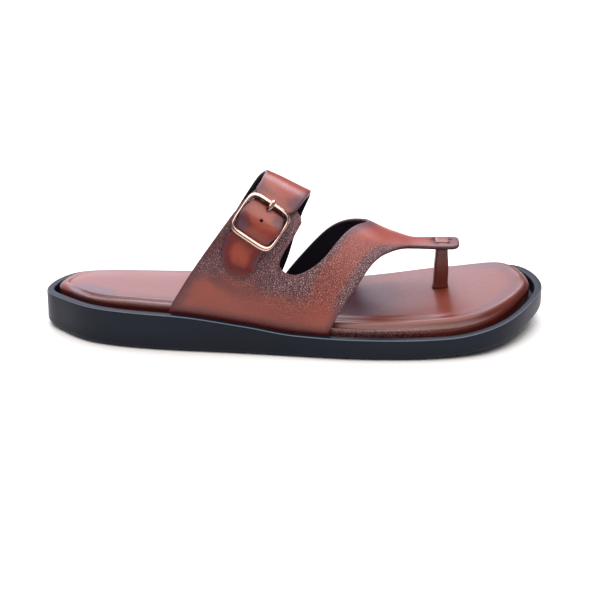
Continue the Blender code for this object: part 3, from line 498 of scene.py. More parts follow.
def burnished_hide(name, dye, roughness, relief, coat):
    """Reads the attributes burnish, grain and deep of the piece."""
    material, tree, where = new_finish(name, {
        "IOR": 1.5, "Coat Weight": coat, "Coat Roughness": 0.30, "Coat IOR": 1.5})
    burnish, grain, deep = [add_node(tree, "Attribute", {}, "Fac", attribute_name=field)
                            for field in ("burnish", "grain", "deep")]
    strokes = add_node(tree, "VectorMath", {0: where, 1: (60.0, 420.0, 420.0)}, operation="MULTIPLY")
    cloud, brushed, mottle, fine = [
        add_node(tree, "TexNoise", {"Vector": vector, "Scale": scale, "Detail": detail})
        for vector, scale, detail in ((where, 45.0, 3.0), (strokes, 1.0, 3.0), (where, 260.0, 4.0),
                                      (where, 1 / PORE, 2.0))]
    wander = add_node(tree, "TexNoise", {"Vector": where, "Scale": 0.35 / PEBBLE}, "Color")
    bent = add_node(tree, "VectorMath", {0: wander, 1: (1.1 * PEBBLE,) * 3, 2: where},
                    operation="MULTIPLY_ADD")
    cells = {"Vector": bent, "Scale": 1 / PEBBLE}
    border = add_node(tree, "TexVoronoi", cells, feature="DISTANCE_TO_EDGE")
    which = add_node(tree, "TexVoronoi", cells, "Color")

    wax = burnish
    for pattern, weight in ((mottle, 0.32), (brushed, 0.35), (cloud, 0.30)):
        level = add_node(tree, "Math", {0: pattern, 1: 0.5}, operation="SUBTRACT")
        wax = add_node(tree, "Math", {0: level, 1: weight, 2: wax}, operation="MULTIPLY_ADD")
    wax = add_node(tree, "Clamp", {0: wax})
    dome, thin, thick = [
        add_node(tree, "MapRange", {0: value, 1: low, 2: high}, interpolation_type="SMOOTHSTEP")
        for value, low, high in ((border, 0.0, 0.34), (wax, 0.05, 0.60), (wax, 0.30, 1.10))]
    raised = add_node(tree, "Math", {0: dome, 1: grain}, operation="MULTIPLY")
    valley = add_node(tree, "MapRange", {0: border, 1: 0.02, 2: 0.16, 3: 0.75, 4: 0.0})
    valley = add_node(tree, "Math", {0: valley, 1: grain}, operation="MULTIPLY")
    tops = raised
    for pattern, weight, least in ((which, 0.34, 0.38), (wax, 0.60, 0.36)):
        level = add_node(tree, "Math", {0: pattern, 1: weight, 2: least}, operation="MULTIPLY_ADD")
        tops = add_node(tree, "Math", {0: tops, 1: level}, operation="MULTIPLY")

    colour, rough = linear(dye.base), roughness - 0.08
    # The fifth tone is painted shade: it darkens folds, rounded edges and leather low by the rim, where each
    # piece marks them.
    for share, tone in ((cloud, dye.light), (thin, dye.red), (thick, dye.dark), (tops, dye.rubbed),
                        (deep, dye.deep), (valley, VALLEY)):
        colour = add_node(tree, "Mix", {0: share, 6: colour, 7: linear(tone)}, 2, data_type="RGBA")
    for pattern, weight in ((mottle, 0.16), (valley, 0.25), (thick, 0.12)):
        rough = add_node(tree, "Math", {0: pattern, 1: weight, 2: rough}, operation="MULTIPLY_ADD")
    height = add_node(tree, "Math", {0: fine, 1: 0.06, 2: raised}, operation="MULTIPLY_ADD")
    bump = add_node(tree, "Bump", {"Strength": 1.0, "Distance": relief, "Height": height})
    return shade(material, {"Base Color": colour, "Roughness": rough, "Normal": bump})


SOCK_HIDE = burnished_hide("waxed footbed leather", Dye(
    "6E2B1B", "7A3422", "62281F", "5A3E4C", "52170D", "B08A92"), 0.34, 0.00012, 0.20)

# %% [markdown]
# ## Footbed
# A foam board is wrapped in leather that is pulled down round its edge and glued underneath. That leaves
# a soft shoulder, two creases where the leather turns over the board at the ball, and fine pleats where
# it is gathered at the heel. Cloth simulation would puff it up, but this pad is glued flat all over, so
# it is lofted like the sole and its folds are subtracted from the height. The folds are real geometry.


# %% Folds of the footbed
CREASE_DEPTH = 0.0015
PLEAT_DEPTH = 0.00055
PLEAT_PITCH = 0.0021
HEEL_ROUND = 0.0032      # how much softer the shoulder is round the heel
Fold = namedtuple("Fold", "place width depth gone full")
BALL_FOLDS = [Fold(0.0195, 0.0027, 1.0, 0.84, 0.74), Fold(0.0143, 0.0027, -0.5, 0.92, 0.80),
              Fold(0.0098, 0.0015, 1.0, 0.95, 0.88)]


def distance_inside(points):
    """Distance of plan points from the sole's outline."""
    outline = SOLE_OUTLINE[::4]
    return np.concatenate([np.sqrt(((block[:, None] - outline) ** 2).sum(2).min(1))
                           for block in np.array_split(points, len(points) // 2000 + 1)])


def fold_footbed(vertices):
    """Presses creases and pleats in, and gives the burnish, the pebbling and the shade painted into the
    folds and down the sides.
    """
    x, y, z = vertices.T
    station, edge, rim = station_of(x), distance_inside(vertices[:, :2]), rim_height(x, y)
    above = z > rim + 0.0002
    outer = (y < 0) & above
    merge = 1 - 0.10 * smoothstep(0.70, 0.95, station)
    pressed = sum(fold.depth * bell(edge, fold.place * merge, fold.width)
                  * smoothstep(fold.gone, fold.full, station) for fold in BALL_FOLDS)
    pressed *= outer * smoothstep(0.46, 0.56, station)
    heel = smoothstep(0.36, 0.26, station) * smoothstep(0.04, 0.10, station) * outer
    crease = 0.30 * heel * smoothstep(0.11, 0.20, station) * bell(edge, 0.0185, 0.0032)
    gather = heel * bell(edge, 0.0108, 0.0016)
    pleat = (0.5 + 0.5 * np.sin(2 * math.pi * x / PLEAT_PITCH + 2 * np.sin(x / 0.009))) * gather
    soft = smoothstep(0.20, 0.05, station) * smoothstep(0.020, -0.012, y)
    soft += 0.5 * smoothstep(0.90, 0.98, station)
    soft *= smoothstep(0.030, 0.002, edge) * smoothstep(0.0, 0.006, z - rim)
    vertices[:, 2] -= CREASE_DEPTH * (pressed + crease) + PLEAT_DEPTH * (pleat + gather) + HEEL_ROUND * soft

    side, arm = smoothstep(0.0100, 0.0085, edge), bell(station, 0.65, 0.13)
    toe_end = smoothstep(0.88, 0.97, station)
    # The dark patch on the heel's outer corner is burnish and also painted shade where the shoulder turns
    # down.
    burnish = 1.70 * bell(station, 0.090, 0.055) * bell(edge, 0.0150, 0.0080) * smoothstep(0.006, -0.010, y)
    burnish += 0.60 * bell(station, 0.63, 0.080) * smoothstep(0.021, 0.027, edge)
    burnish += 0.50 * bell(station, 0.90, 0.060) * bell(edge, 0.0150, 0.0040)
    burnish += side * (0.45 * arm + 0.35 * heel) + 0.22 * smoothstep(0.50, 0.62, station) * (1 - side)
    # Painted shade: darker in the creases and pleats, round the heel's edge, at the toe end and down the
    # side above the rim.
    deep = 0.85 * np.clip(pressed, 0, 1) + 2.20 * crease + 0.60 * pleat + 0.40 * gather
    deep += 0.55 * heel * smoothstep(0.0175, 0.0125, edge) + 0.35 * toe_end * smoothstep(0.016, 0.010, edge)
    deep += side * (0.40 + 0.45 * toe_end - 0.80 * arm) * above
    return {"burnish": burnish, "grain": side * (0.35 + 0.65 * arm), "deep": deep}


print("creases lie", [round(1000 * fold.place, 1) for fold in BALL_FOLDS], "mm from the outline")

# %% Footbed pad
FOOTBED_STATIONS = 260
SIDE_RISE = 0.0006       # upright side above the level of the rim
ACROSS = np.sin(np.linspace(-math.pi / 2, math.pi / 2, 61))[1:-1]


def footbed_profile():
    """Insets and heights from under the pad, up its side and over its shoulder."""
    def over_floor(rise):
        return lambda x, y: rim_height(x, y) - CUP_DEPTH + GAP + rise

    def shoulder(drop):
        def height(x, y):
            low = rim_height(x, y) + SIDE_RISE
            return low + (1 - drop) * (footbed_height(x, y, 1.0) - low)
        return height

    profile = [(FOOTBED_SIDE + 0.001, over_floor(0.0)), (FOOTBED_SIDE, over_floor(0.001))]
    return profile + [(FOOTBED_SIDE + inset, shoulder(drop))
                      for inset, drop in reversed(quarter_round(FOOTBED_SHOULDER, 1.0, 12))]


def make_footbed():
    profile, count = footbed_profile(), 2 * FOOTBED_STATIONS
    vertices = list(lofted(profile, FOOTBED_STATIONS))
    faces = ring_faces(len(profile), count) + ladder(0, count)
    ring, rungs = (len(profile) - 1) * count, []
    for i in range(1, FOOTBED_STATIONS):
        outer, inner, new = vertices[ring + i], vertices[ring + count - i], len(vertices)
        rungs.append([ring + i, *range(new, new + len(ACROSS)), ring + count - i])
        for across in ACROSS:
            point = outer + (inner - outer) * (across + 1) / 2
            point[2] = footbed_height(point[0], point[1], across)
            vertices.append(point)
    for low, high in zip(rungs, rungs[1:]):
        faces += [(low[k], high[k], high[k + 1], low[k + 1]) for k in range(len(low) - 1)]
    for tip, rung in ((ring, rungs[0]), (ring + FOOTBED_STATIONS, rungs[-1])):
        faces += [(tip, rung[k], rung[k + 1]) for k in range(len(rung) - 1)]
    vertices = np.array(vertices)
    fields = fold_footbed(vertices)
    pad = add_piece("footbed_pad", vertices, faces, [SOCK_HIDE], fields=fields,
                    node="footbed", record_slot="footbed_leather")
    return pad


footbed_pad = make_footbed()

# %% [markdown]
# ## Lining and cut edge
# The hide is lined with thin black leather, matt because its nap catches no light. Where hide and lining
# are cut, the edge is sanded round and painted dark brown, and the fibres under the paint leave fine
# streaks along it. Both are plain finishes, because neither is wider than a few millimetres in view.


# %% Lining and edge paint
def lining_leather():
    material, tree, where = new_finish("black lining leather", {
        "IOR": 1.45, "Roughness": 0.62, "Specular IOR Level": 0.3, "Base Color": linear("080F1C")})
    nap = add_node(tree, "TexNoise", {"Vector": where, "Scale": 1 / PORE})
    bump = add_node(tree, "Bump", {"Strength": 0.5, "Distance": 0.00006, "Height": nap})
    return shade(material, {"Normal": bump})


def edge_paint():
    material, tree, where = new_finish("painted leather edge", {"IOR": 1.5, "Roughness": 0.45})
    fibres = add_node(tree, "TexNoise", {"Vector": where, "Scale": 700.0, "Detail": 3.0})
    colour = add_node(tree, "Mix", {0: fibres, 6: linear("1F1013"), 7: linear("5A322F")}, 2,
                      data_type="RGBA")
    bump = add_node(tree, "Bump", {"Strength": 0.6, "Distance": 0.0001, "Height": fibres})
    return shade(material, {"Base Color": colour, "Normal": bump})


LINING, EDGE_PAINT = lining_leather(), edge_paint()

# %% [markdown]
# ## Upper
# One lined hide is die-cut to a pattern and lasted. Modelling it as a box and carving it would lose the
# even wall, so the pattern is drawn flat, filled with triangles, and lifted onto the last twice, once as
# lining and once as hide. Rows of points beside the edge follow a quarter circle, so that the cut edge is
# rounded as a sanded and painted one is.

# %% Pattern of the upper
Edge = namedtuple("Edge", "name rows")
UPPER_EDGES = [
    Edge("back of the quarter", [
        (0.246, -BASE), (0.258, -0.960), (0.274, -0.870), (0.298, -0.744),
        (0.345, -0.513), (0.390, -0.294), (0.421, -0.156)]),
    Edge("top under the strap", [(0.421, -0.156), (0.503, -0.203)]),
    Edge("clipped corner", [(0.503, -0.203), (0.5087, -0.229), (0.5115, -0.271)]),
    Edge("notch and back of the front strap", [
        (0.5115, -0.271), (0.494, -0.400), (0.472, -0.545), (0.472, -0.603),
        (0.489, -0.627), (0.509, -0.611), (0.547, -0.508), (0.583, -0.321),
        (0.622, -0.094), (0.644, 0.060), (0.634, 0.210), (0.617, 0.275),
        (0.581, 0.404), (0.553, 0.540), (0.512, 0.760), (0.479, 0.938), (0.464, BASE)]),
    Edge("inner base", [(0.464, BASE), (0.615, BASE)]),
    Edge("front of the inner arm", [
        (0.615, BASE), (0.626, 0.850), (0.643, 0.650), (0.668, 0.450),
        (0.692, 0.310), (0.717, 0.210), (0.742, 0.152), (0.768, 0.132), (0.819, 0.136)]),
    Edge("tip", [(0.819, 0.136), (0.829, 0.107), (0.832, 0.0), (0.829, -0.100), (0.819, -0.128)]),
    Edge("front of the outer arm", [
        (0.819, -0.128), (0.778, -0.122), (0.741, -0.107), (0.718, -0.147),
        (0.698, -0.220), (0.658, -0.402), (0.619, -0.645), (0.602, -0.738),
        (0.574, -0.928), (0.561, -BASE)]),
    Edge("outer base", [(0.561, -BASE), (0.246, -BASE)]),
]
FLAT = np.array([LENGTH, HALF_GIRTH])
EDGE_STEP = 0.0013
GRID_STEP = 0.0022
EDGE_RADIUS = 0.0008
EDGE_ROWS = (0.10, 0.32, 0.62, 1.0)      # rows of the rounded edge, as shares of its radius


def edge_curve(edge, step):
    """One edge of the pattern in flat lengths, stepped evenly."""
    rows = np.array(edge.rows, float) * FLAT
    return spline(rows, max(2, round(walked(spline(rows, 400))[-1] / step) + 1))


def inside(points, loop):
    """Which points lie inside a closed loop, and how far each is from it."""
    ahead = np.roll(loop, -1, axis=0)
    run = ahead - loop
    within, distance = np.zeros(len(points), bool), np.empty(len(points))
    rise = np.where(run[:, 1] == 0, 1.0, run[:, 1])
    for start in range(0, len(points), 1000):
        block = points[start:start + 1000]
        x, y = block[:, :1], block[:, 1:]
        spans = (loop[:, 1] > y) != (ahead[:, 1] > y)
        cross = x < loop[:, 0] + (y - loop[:, 1]) / rise * run[:, 0]
        share = ((block[:, None] - loop) * run).sum(2) / (run ** 2).sum(1)
        near = loop + np.clip(share, 0, 1)[..., None] * run
        distance[start:start + 1000] = np.linalg.norm(block[:, None] - near, axis=2).min(1)
        within[start:start + 1000] = (spans & cross).sum(1) % 2 == 1
    return within, distance


def beside(loop, inset, inwards):
    """Points beside a loop, moved by an inset, without those that fold over."""
    area = (loop[:, 0] * np.roll(loop[:, 1], -1) - np.roll(loop[:, 0], -1) * loop[:, 1]).sum()
    turn = 1 if (area > 0) == inwards else -1
    moved = loop + turn * inset * to_left(loop)
    within, distance = inside(moved, loop)
    return moved[(within == inwards) & (distance > 0.93 * inset)]


def fill_pattern(loops, grid):
    """Triangles that fill the first loop, leave the others open, and crowd near the edges."""
    low, high = loops[0].min(0), loops[0].max(0)
    counts = np.ceil((high - low) / grid).astype(int)
    across = [np.linspace(low[k], high[k], counts[k] + 1) for k in (0, 1)]
    points = np.stack(np.meshgrid(*across, indexing="ij"), axis=-1).reshape(-1, 2)
    points[:, 1] += grid / 2 * (np.arange(len(points)) // (counts[1] + 1) % 2)
    keep = np.ones(len(points), bool)
    extra = []
    for n, loop in enumerate(loops):
        within, distance = inside(points, loop)
        keep &= (within == (n == 0)) & (distance > EDGE_RADIUS + grid * 0.45)
        extra += [beside(loop, share * EDGE_RADIUS, n == 0) for share in EDGE_ROWS]
    points = np.vstack([points[keep]] + extra)
    edges, start = [], 0
    for loop in loops:
        edges += [(start + i, start + (i + 1) % len(loop)) for i in range(len(loop))]
        start += len(loop)
    flat = [Vector(p) for p in np.vstack(loops + [points])]
    result = delaunay_2d_cdt(flat, edges, [], 1, 1e-8)
    corners, triangles = np.array([tuple(v) for v in result[0]]), np.array([tuple(f) for f in result[2]])
    middles = corners[triangles].mean(axis=1)
    solid = np.ones(len(triangles), bool)
    for hole in loops[1:]:
        solid &= ~inside(middles, hole)[0]
    distance = np.min([inside(corners, loop)[1] for loop in loops], axis=0)
    return corners, triangles[solid], distance


def edge_drop(distance, radius=EDGE_RADIUS):
    """How far a rounded edge lies below the flat face, by distance from the cut."""
    share = 1 - np.clip(distance / radius, 0, 1)
    return radius * (1 - np.sqrt(np.clip(1 - share * share, 0, 1)))


upper_loop = np.vstack([edge_curve(edge, EDGE_STEP)[:-1] for edge in UPPER_EDGES])
print("pattern of the upper:", len(upper_loop), "points along its edge")

# %% [markdown]
# ### Slits of the tongue
# Two slits are punched through the tongue for the tab of the toe post. Cutting them later with a Boolean
# would leave sharp edges, so they are loops of the pattern and get the same rounded, painted edge.

# %% Slits for the toe post
POST_WIDTH = 0.0082
POST_STATION = 0.7975
SLIT_SPACING = 0.0070
TAB_WALL = 0.0012


def girth_beside(station, distance):
    """Girth of a point that lies a distance from the ridge, positive to the inner side."""
    points = last_point(station, math.copysign(1.0, distance) * np.linspace(0.0, 1.0, 60))
    return distance / float(walked(points)[-1])


def slit_loop(side):
    """One slit of the tongue, in flat lengths."""
    half_wide, half_long = (TAB_WALL + GAP) / 2, POST_WIDTH / 2 + GAP
    x = POST_STATION * LENGTH + side * SLIT_SPACING / 2
    return np.array([(x + half_wide * squared_off(math.cos(t), 0.5), HALF_GIRTH * girth_beside(
        POST_STATION, half_long * squared_off(math.sin(t), 0.25))) for t in around(28, 0.05)])


slits = [slit_loop(-1), slit_loop(1)]
print("slits are", round(1000 * POST_WIDTH, 1), "mm long")

# %% [markdown]
# ## Burnish of the upper
# Hand burnishing goes where a worker's pad goes: darkest along cut edges and round the notch, clear over
# the bare lower quarter and the ridge. The pebbles of this hide were ironed flat low down and left
# standing round the notch, behind the tail of the strap and along the front edge. Both could be painted
# by hand. Here they follow the distance to each named edge, so they stay right if the pattern changes.

# %% Burnish, grain and depth of the upper
NOTCH = (0.485, -0.630)
TAIL_CENTRE = (0.392, -0.640)
UPPER_HIDE = burnished_hide("pebbled full-grain leather", Dye(
    "8E3722", "9A402A", "702C25", "532A38", "581812", "D0A8A8"), 0.38, 0.00034, 0.13)


def burnish_upper(flat, distance):
    """The three attributes of the hide, from its flat pattern and the distance to the cut."""
    station, girth = (flat / FLAT).T
    to_edge = {edge.name: np.min([np.linalg.norm(flat - p, axis=1) for p in edge_curve(edge, 0.002)], axis=0)
               for edge in UPPER_EDGES}
    to_front, to_back = to_edge["front of the outer arm"], to_edge["notch and back of the front strap"]
    to_rear = to_edge["back of the quarter"]
    to_notch, to_tail = [np.linalg.norm(flat - np.array(spot) * FLAT, axis=1)
                         for spot in (NOTCH, TAIL_CENTRE)]
    quarter, inner_side = smoothstep(0.56, 0.49, station), smoothstep(0.0, 0.3, girth)
    top = smoothstep(-0.82, -0.64, girth) * quarter
    front_strap = smoothstep(0.48, 0.55, station) * smoothstep(-0.16, -0.30, girth)
    middle = smoothstep(-0.90, -0.66, girth) * front_strap
    front_edge = bell(to_front, 0.001, 0.0050) * middle

    burnish = 0.90 * np.exp(-distance / 0.0026) + 0.62 * top + 0.72 * bell(to_notch, 0.0, 0.0135)
    burnish += 0.85 * front_edge + 0.30 * bell(to_tail, 0.0180, 0.0045) * quarter + 0.25 * inner_side
    # Less wax in the middle of the front strap makes it lighter, a painted highlight of the overhead sheen.
    burnish += 0.45 * bell(to_back, 0.0, 0.0035) - 0.25 * middle * bell(to_front, 0.014, 0.006)
    burnish += 0.35 * bell(to_rear, 0.0, 0.0060) + 0.16 * smoothstep(0.78, 0.82, station)
    burnish += 0.16 * smoothstep(0.52, 0.62, station) * bell(girth, 0.0, 0.25)
    grain = 0.90 * top + bell(to_notch, 0.0, 0.0240) + 0.62 * middle + 0.95 * front_edge + 0.3 * inner_side
    # Painted shade: darker on the rounded cut edge, low by the rim, beside the back of the quarter, and as
    # the cast shadow under the strap's tail.
    deep = (0.45 + 0.4 * smoothstep(0.55, 0.65, station)) * np.exp(-distance / 0.0009)
    deep += 0.80 * smoothstep(0.920, 1.0, np.abs(girth)) + 0.14 * smoothstep(-0.72, -0.90, girth)
    deep += quarter * (0.20 + 0.25 * bell(to_rear, 0.0, 0.0045) + 0.35 * bell(to_tail, 0.0150, 0.0030))
    fields = {"burnish": burnish, "grain": np.maximum(grain, 0.05), "deep": deep}
    return {name: np.tile(values, 2) for name, values in fields.items()}


# %% Upper
def make_upper():
    flat, triangles, distance = fill_pattern([upper_loop] + slits, GRID_STEP)
    station, girth = (flat / FLAT).T
    drop = np.where(np.abs(girth) > 1, 0.0, edge_drop(distance))
    both = np.vstack([on_last(station, girth, drop), on_last(station, girth, UPPER_WALL - drop)])
    count = len(flat)
    edges = {(int(t[k]), int(t[(k + 1) % 3])) for t in triangles for k in range(3)}
    rim = [(a, b) for a, b in edges if (b, a) not in edges]
    faces = [tuple(count + i for i in t) for t in triangles] + [tuple(reversed(t)) for t in triangles]
    faces += [(a, b, count + b, count + a) for a, b in rim]
    slots = [0] * len(triangles) + [1] * len(triangles) + [2] * len(rim)
    return add_piece("hide_upper", both, faces, [UPPER_HIDE, LINING, EDGE_PAINT], slots,
                     burnish_upper(flat, distance), "upper", "grained_leather")


hide_upper = make_upper()

# %% [markdown]
# ## Instep strap
# The strap is a plain belt of smooth leather. It comes up from the inner rim, crosses the instep, passes
# over the buckle's centre bar with the prong through it, and ends in a round tail on the quarter. It
# could be bent with a curve modifier, but a strap keeps its width and thickness however it bends, so it
# is swept along the last as one closed section with rounded edges.

# %% Sizes of the strap and the buckle
FRAME_ACROSS = 0.0280
FRAME_ALONG = 0.0268
FRAME_THICK = 0.0022
FRAME_SQUARENESS = 5.2
END_BAR = 0.0030
SIDE_BAR = 0.0019
CENTRE_BAR = 0.0016
PRONG = 0.0012
PRONG_WIDTH = 0.0027
HUMP_REACH = 0.0130
BAR_PLACE = (FRAME_ALONG - END_BAR) / 2
Row = namedtuple("Row", "station girth reach turn")
STRAP_ROWS = [Row(*row) for row in (
    (0.378, BASE, 0.807, 0.000), (0.411, 0.800, 0.746, 0.000), (0.436, 0.565, 0.662, 0.000),
    (0.458, 0.362, 0.586, 0.000), (0.475, 0.180, 0.524, 0.000), (0.482, 0.050, 0.450, 0.000),
    (0.471, -0.103, 0.418, 0.010), (0.4575, -0.197, 0.372, 0.036), (0.450, -0.240, 0.300, 0.032),
    (0.430, -0.360, 0.380, 0.034), (0.410, -0.474, 0.300, 0.036), (0.401, -0.515, 0.334, 0.036),
    (0.392, -0.590, 0.333, 0.030), (0.390, -0.712, 0.333, -0.012))]
BUCKLE_ROW = 9
TAIL_ROW = 12
TAIL_FULLNESS = 2.2
CENTRE_BAR_HEIGHT = UPPER_WALL + GAP + 0.0001 + CENTRE_BAR / 2
HOOK_RADIUS = CENTRE_BAR / 2 + 0.00025 + PRONG / 2
HUMP = CENTRE_BAR_HEIGHT + HOOK_RADIUS + PRONG / 2 + GAP - (UPPER_WALL + GAP)


def strap_rows(count=481):
    """The strap's rows between its table rows, and the distance from the buckle."""
    rows = np.array([tuple(row) for row in STRAP_ROWS], float)
    walk = walked(last_point(rows[:, 0], rows[:, 1]))
    walk -= walk[BUCKLE_ROW]
    along = np.linspace(walk[0], walk[-1], count)
    return along, np.stack([monotone(walk, rows[:, k], along) for k in range(4)], axis=1), walk


def strap_lift(girth, along):
    """Height of the strap's underside above the last."""
    fade = np.clip((0.75 - girth) / 0.55, 0, 1)
    lift = (UPPER_WALL + GAP) * fade * fade * (3 - 2 * fade)
    away = np.sqrt((along / HUMP_REACH) ** 2 + 0.10 ** 2) - 0.10
    return lift + HUMP * (1 - smoothstep(0.0, 1.0, away)) * np.clip(1 - 0.25 * away, 0, 1)


def buckle_axes():
    """Place on the last under the centre bar, with axes across, along and out."""
    before, here, after = STRAP_ROWS[BUCKLE_ROW - 1:BUCKLE_ROW + 2]
    out = last_normal(here.station, here.girth)
    along = last_point(before.station, before.girth) - last_point(after.station, after.girth)
    along -= out * along.dot(out)
    along /= np.linalg.norm(along)
    return last_point(here.station, here.girth), (np.cross(along, out), along, out)


BUCKLE_CENTRE, BUCKLE_AXES = buckle_axes()


def to_world(local):
    """A point given in the buckle's axes."""
    return BUCKLE_CENTRE + sum(axis * value for axis, value in zip(BUCKLE_AXES, local))


def frame_height():
    """Middle of the frame above its place, so that its end bars clear the strap."""
    along, dense, _ = strap_rows()
    heights = []
    for place in [side * (BAR_PLACE + part * END_BAR / 2) for side in (-1, 1) for part in (-1, 0, 1)]:
        station, girth, reach, turn = [np.interp(place, along, dense[:, k]) for k in range(4)]
        for share in (-1, -0.5, 0, 0.5, 1):
            point = on_last(station + share * reach * STRAP_WIDTH / LENGTH, girth - share * turn,
                            strap_lift(girth, place) + STRAP_WALL)
            heights.append((point - BUCKLE_CENTRE).dot(BUCKLE_AXES[2]))
    return max(heights) + GAP + FRAME_THICK / 2


FRAME_UP = frame_height()
print("buckle frame stands", round(1000 * FRAME_UP, 2), "mm over the last")

# %% [markdown]
# ### Leather of the strap
# Belt leather is pressed under a hot plate, which closes its pores. So it is the smoothest hide here, and
# its light comes back sharper. Wax stays where the strap bends over the bar and round the cut tail, and
# that follows the place along the strap.

# %% Burnish of the strap
STRAP_HIDE = burnished_hide("smooth plated leather", Dye(
    "8A3C2A", "964635", "6C2620", "482A3A", "560F0E", "8A5A5A"), 0.28, 0.00010, 0.12)


def burnish_strap(place, share, distance, end):
    """Wax and painted shade by the place along the strap, the share across it and the distance from its cut
    edge.
    """
    tail = smoothstep(0.012, 0.018, place)
    band = np.exp(-(distance / 0.0042) ** 2) * tail + 0.5 * np.exp(-distance / 0.0022) * (1 - tail)
    burnish = 0.85 * band + 0.30 * smoothstep(0.0, 0.004, place) * smoothstep(0.020, 0.0125, place)
    burnish += 0.60 * bell(place, -0.0175, 0.0040) * (0.4 + 0.6 * np.abs(share))
    for along, length, across, width in (
            (0.0040, 0.0050, -0.85, 0.40), (-0.0045, 0.0040, 0.80, 0.40), (-0.0230, 0.0060, 0.95, 0.30)):
        burnish += 0.75 * bell(place, along, length) * bell(share, across, width)
    # Painted shade: darker on the rounded edge, just under the buckle's end bar, at the tail's end and in a
    # band inside its edge.
    deep = 0.50 * np.exp(-distance / 0.0008) + 0.60 * bell(place, -0.0088, 0.0026)
    deep += 1.5 * bell(end - place, 0.0020, 0.0050) + 0.35 * tail * bell(distance, 0.0034, 0.0018)
    return {"burnish": burnish, "grain": np.full(len(place), 0.05), "deep": deep}


# %% Sections of the strap
def strap_section(row, place, half, round_end, tail, end):
    """One closed section, outside first, with shares across it and distances from the cut edge."""
    side = [-1 + min(inset * EDGE_RADIUS / half, 0.95) for inset in (0.0,) + EDGE_ROWS]
    shares = np.array(side[:-1] + list(np.linspace(side[-1], -side[-1], 21)) + [-s for s in side[-2::-1]])
    distance = (1 - np.abs(shares)) * half
    if place > tail:
        distance = np.minimum(distance, max(end - place, 0.0))
    station = row[0] + shares * half / LENGTH
    girth = row[1] - row[3] * round_end * shares
    lift, drop = strap_lift(row[1], place), edge_drop(distance)
    outer = on_last(station, girth, lift + STRAP_WALL - drop)
    inner = on_last(station, girth, lift + drop)[::-1]
    fields = np.stack([shares, distance])
    return np.vstack([outer, inner]), np.hstack([fields, fields[:, ::-1]])


def strap_places(walk, tail, end):
    """Places of the sections: close where the strap bends, and closer towards the tail's end."""
    buckle = HUMP_REACH + 0.005
    round_tail = tail + (end - tail) * np.sin(np.linspace(0, 0.985 * math.pi / 2, 22))
    return np.concatenate([np.arange(walk[0], -buckle, 0.0022), np.arange(-buckle, buckle, 0.0006),
                           np.arange(buckle, tail - 0.0005, 0.0015), round_tail])


print("the strap bends within", round(1000 * HUMP_REACH, 1), "mm of the centre bar")


# %% Instep strap
def make_strap():
    along, dense, walk = strap_rows()
    tail, end = walk[TAIL_ROW], walk[-1]
    places = strap_places(walk, tail, end)
    rows = np.stack([np.interp(places, along, dense[:, k]) for k in range(4)], axis=1)
    past = np.clip((places - tail) / (end - tail), 0, 1)
    round_end = (1 - past ** TAIL_FULLNESS) ** (1 / TAIL_FULLNESS)
    sections = [strap_section(row, place, row[2] * STRAP_WIDTH * share, share, tail, end)
                for row, place, share in zip(rows, places, round_end)]
    vertices = np.vstack([points for points, _ in sections])
    share, distance = np.hstack([fields for _, fields in sections])
    count = len(sections[0][0])
    half, last = count // 2, (len(places) - 1) * count
    faces = ring_faces(len(places), count)
    slots = [0 if k < half - 1 else 1 if half - 1 < k < count - 1 else 2 for k in range(count)]
    slots *= len(places) - 1
    for base in (0, last):
        faces += [(base + k, base + k + 1, base + count - 2 - k, base + count - 1 - k)
                  for k in range(half - 1)]
        slots += [2] * (half - 1)
    fields = burnish_strap(np.repeat(places, count), share, distance, end)
    return add_piece("belt_strap", vertices, faces, [STRAP_HIDE, LINING, EDGE_PAINT], slots,
                     fields, "instep_strap", "smooth_leather")


belt_strap = make_strap()

# %% [markdown]
# ### Holes of the strap
# The holes are punched with a round die before the strap is finished. A dark disc would look like a hole
# from one side only, so each is really cut, with a Boolean whose result is kept and whose die is thrown
# away. One hole takes the prong and one is spare.


# %% Punch the holes
def punch(piece, place, diameter):
    """Cuts a round hole through the strap at a place along it."""
    rings = [to_world((diameter / 2 * math.cos(t), place + diameter / 2 * math.sin(t), height))
             for height in (0.0030, 0.0120) for t in around(24)]
    die = add_piece("die", rings, capped(2, 24), [EDGE_PAINT])
    change = piece.modifiers.new("hole", "BOOLEAN")
    change.operation, change.solver, change.object = "DIFFERENCE", "EXACT", die
    change.material_mode = "TRANSFER"
    bpy.context.view_layer.update()
    cut = piece.evaluated_get(bpy.context.evaluated_depsgraph_get())
    mesh = bpy.data.meshes.new_from_object(cut)
    piece.modifiers.clear()
    piece.data = mesh
    bpy.data.objects.remove(die, do_unlink=True)


punch(belt_strap, 0.0005, 0.0019)
punch(belt_strap, BAR_PLACE - END_BAR / 2 - 0.0016, 0.0026)
print("strap with its holes:", len(belt_strap.data.polygons), "faces")

# %% [markdown]
# ## Buckle finish: antique copper plate
# The buckle is cast in zinc, plated with copper, dipped until it turns dark, and then polished, which
# bares the copper on every high edge and leaves the dark in corners. A metal's colour is its reflection,
# so metallic is 1 and the tarnish changes its colour and roughness. The mesh carries where the copper is
# bare as an attribute that is partly that polish and partly painted light: faces turned up are lighter
# and faces turned down the strap darker, as painted reflections of a bright top and a dark surround.


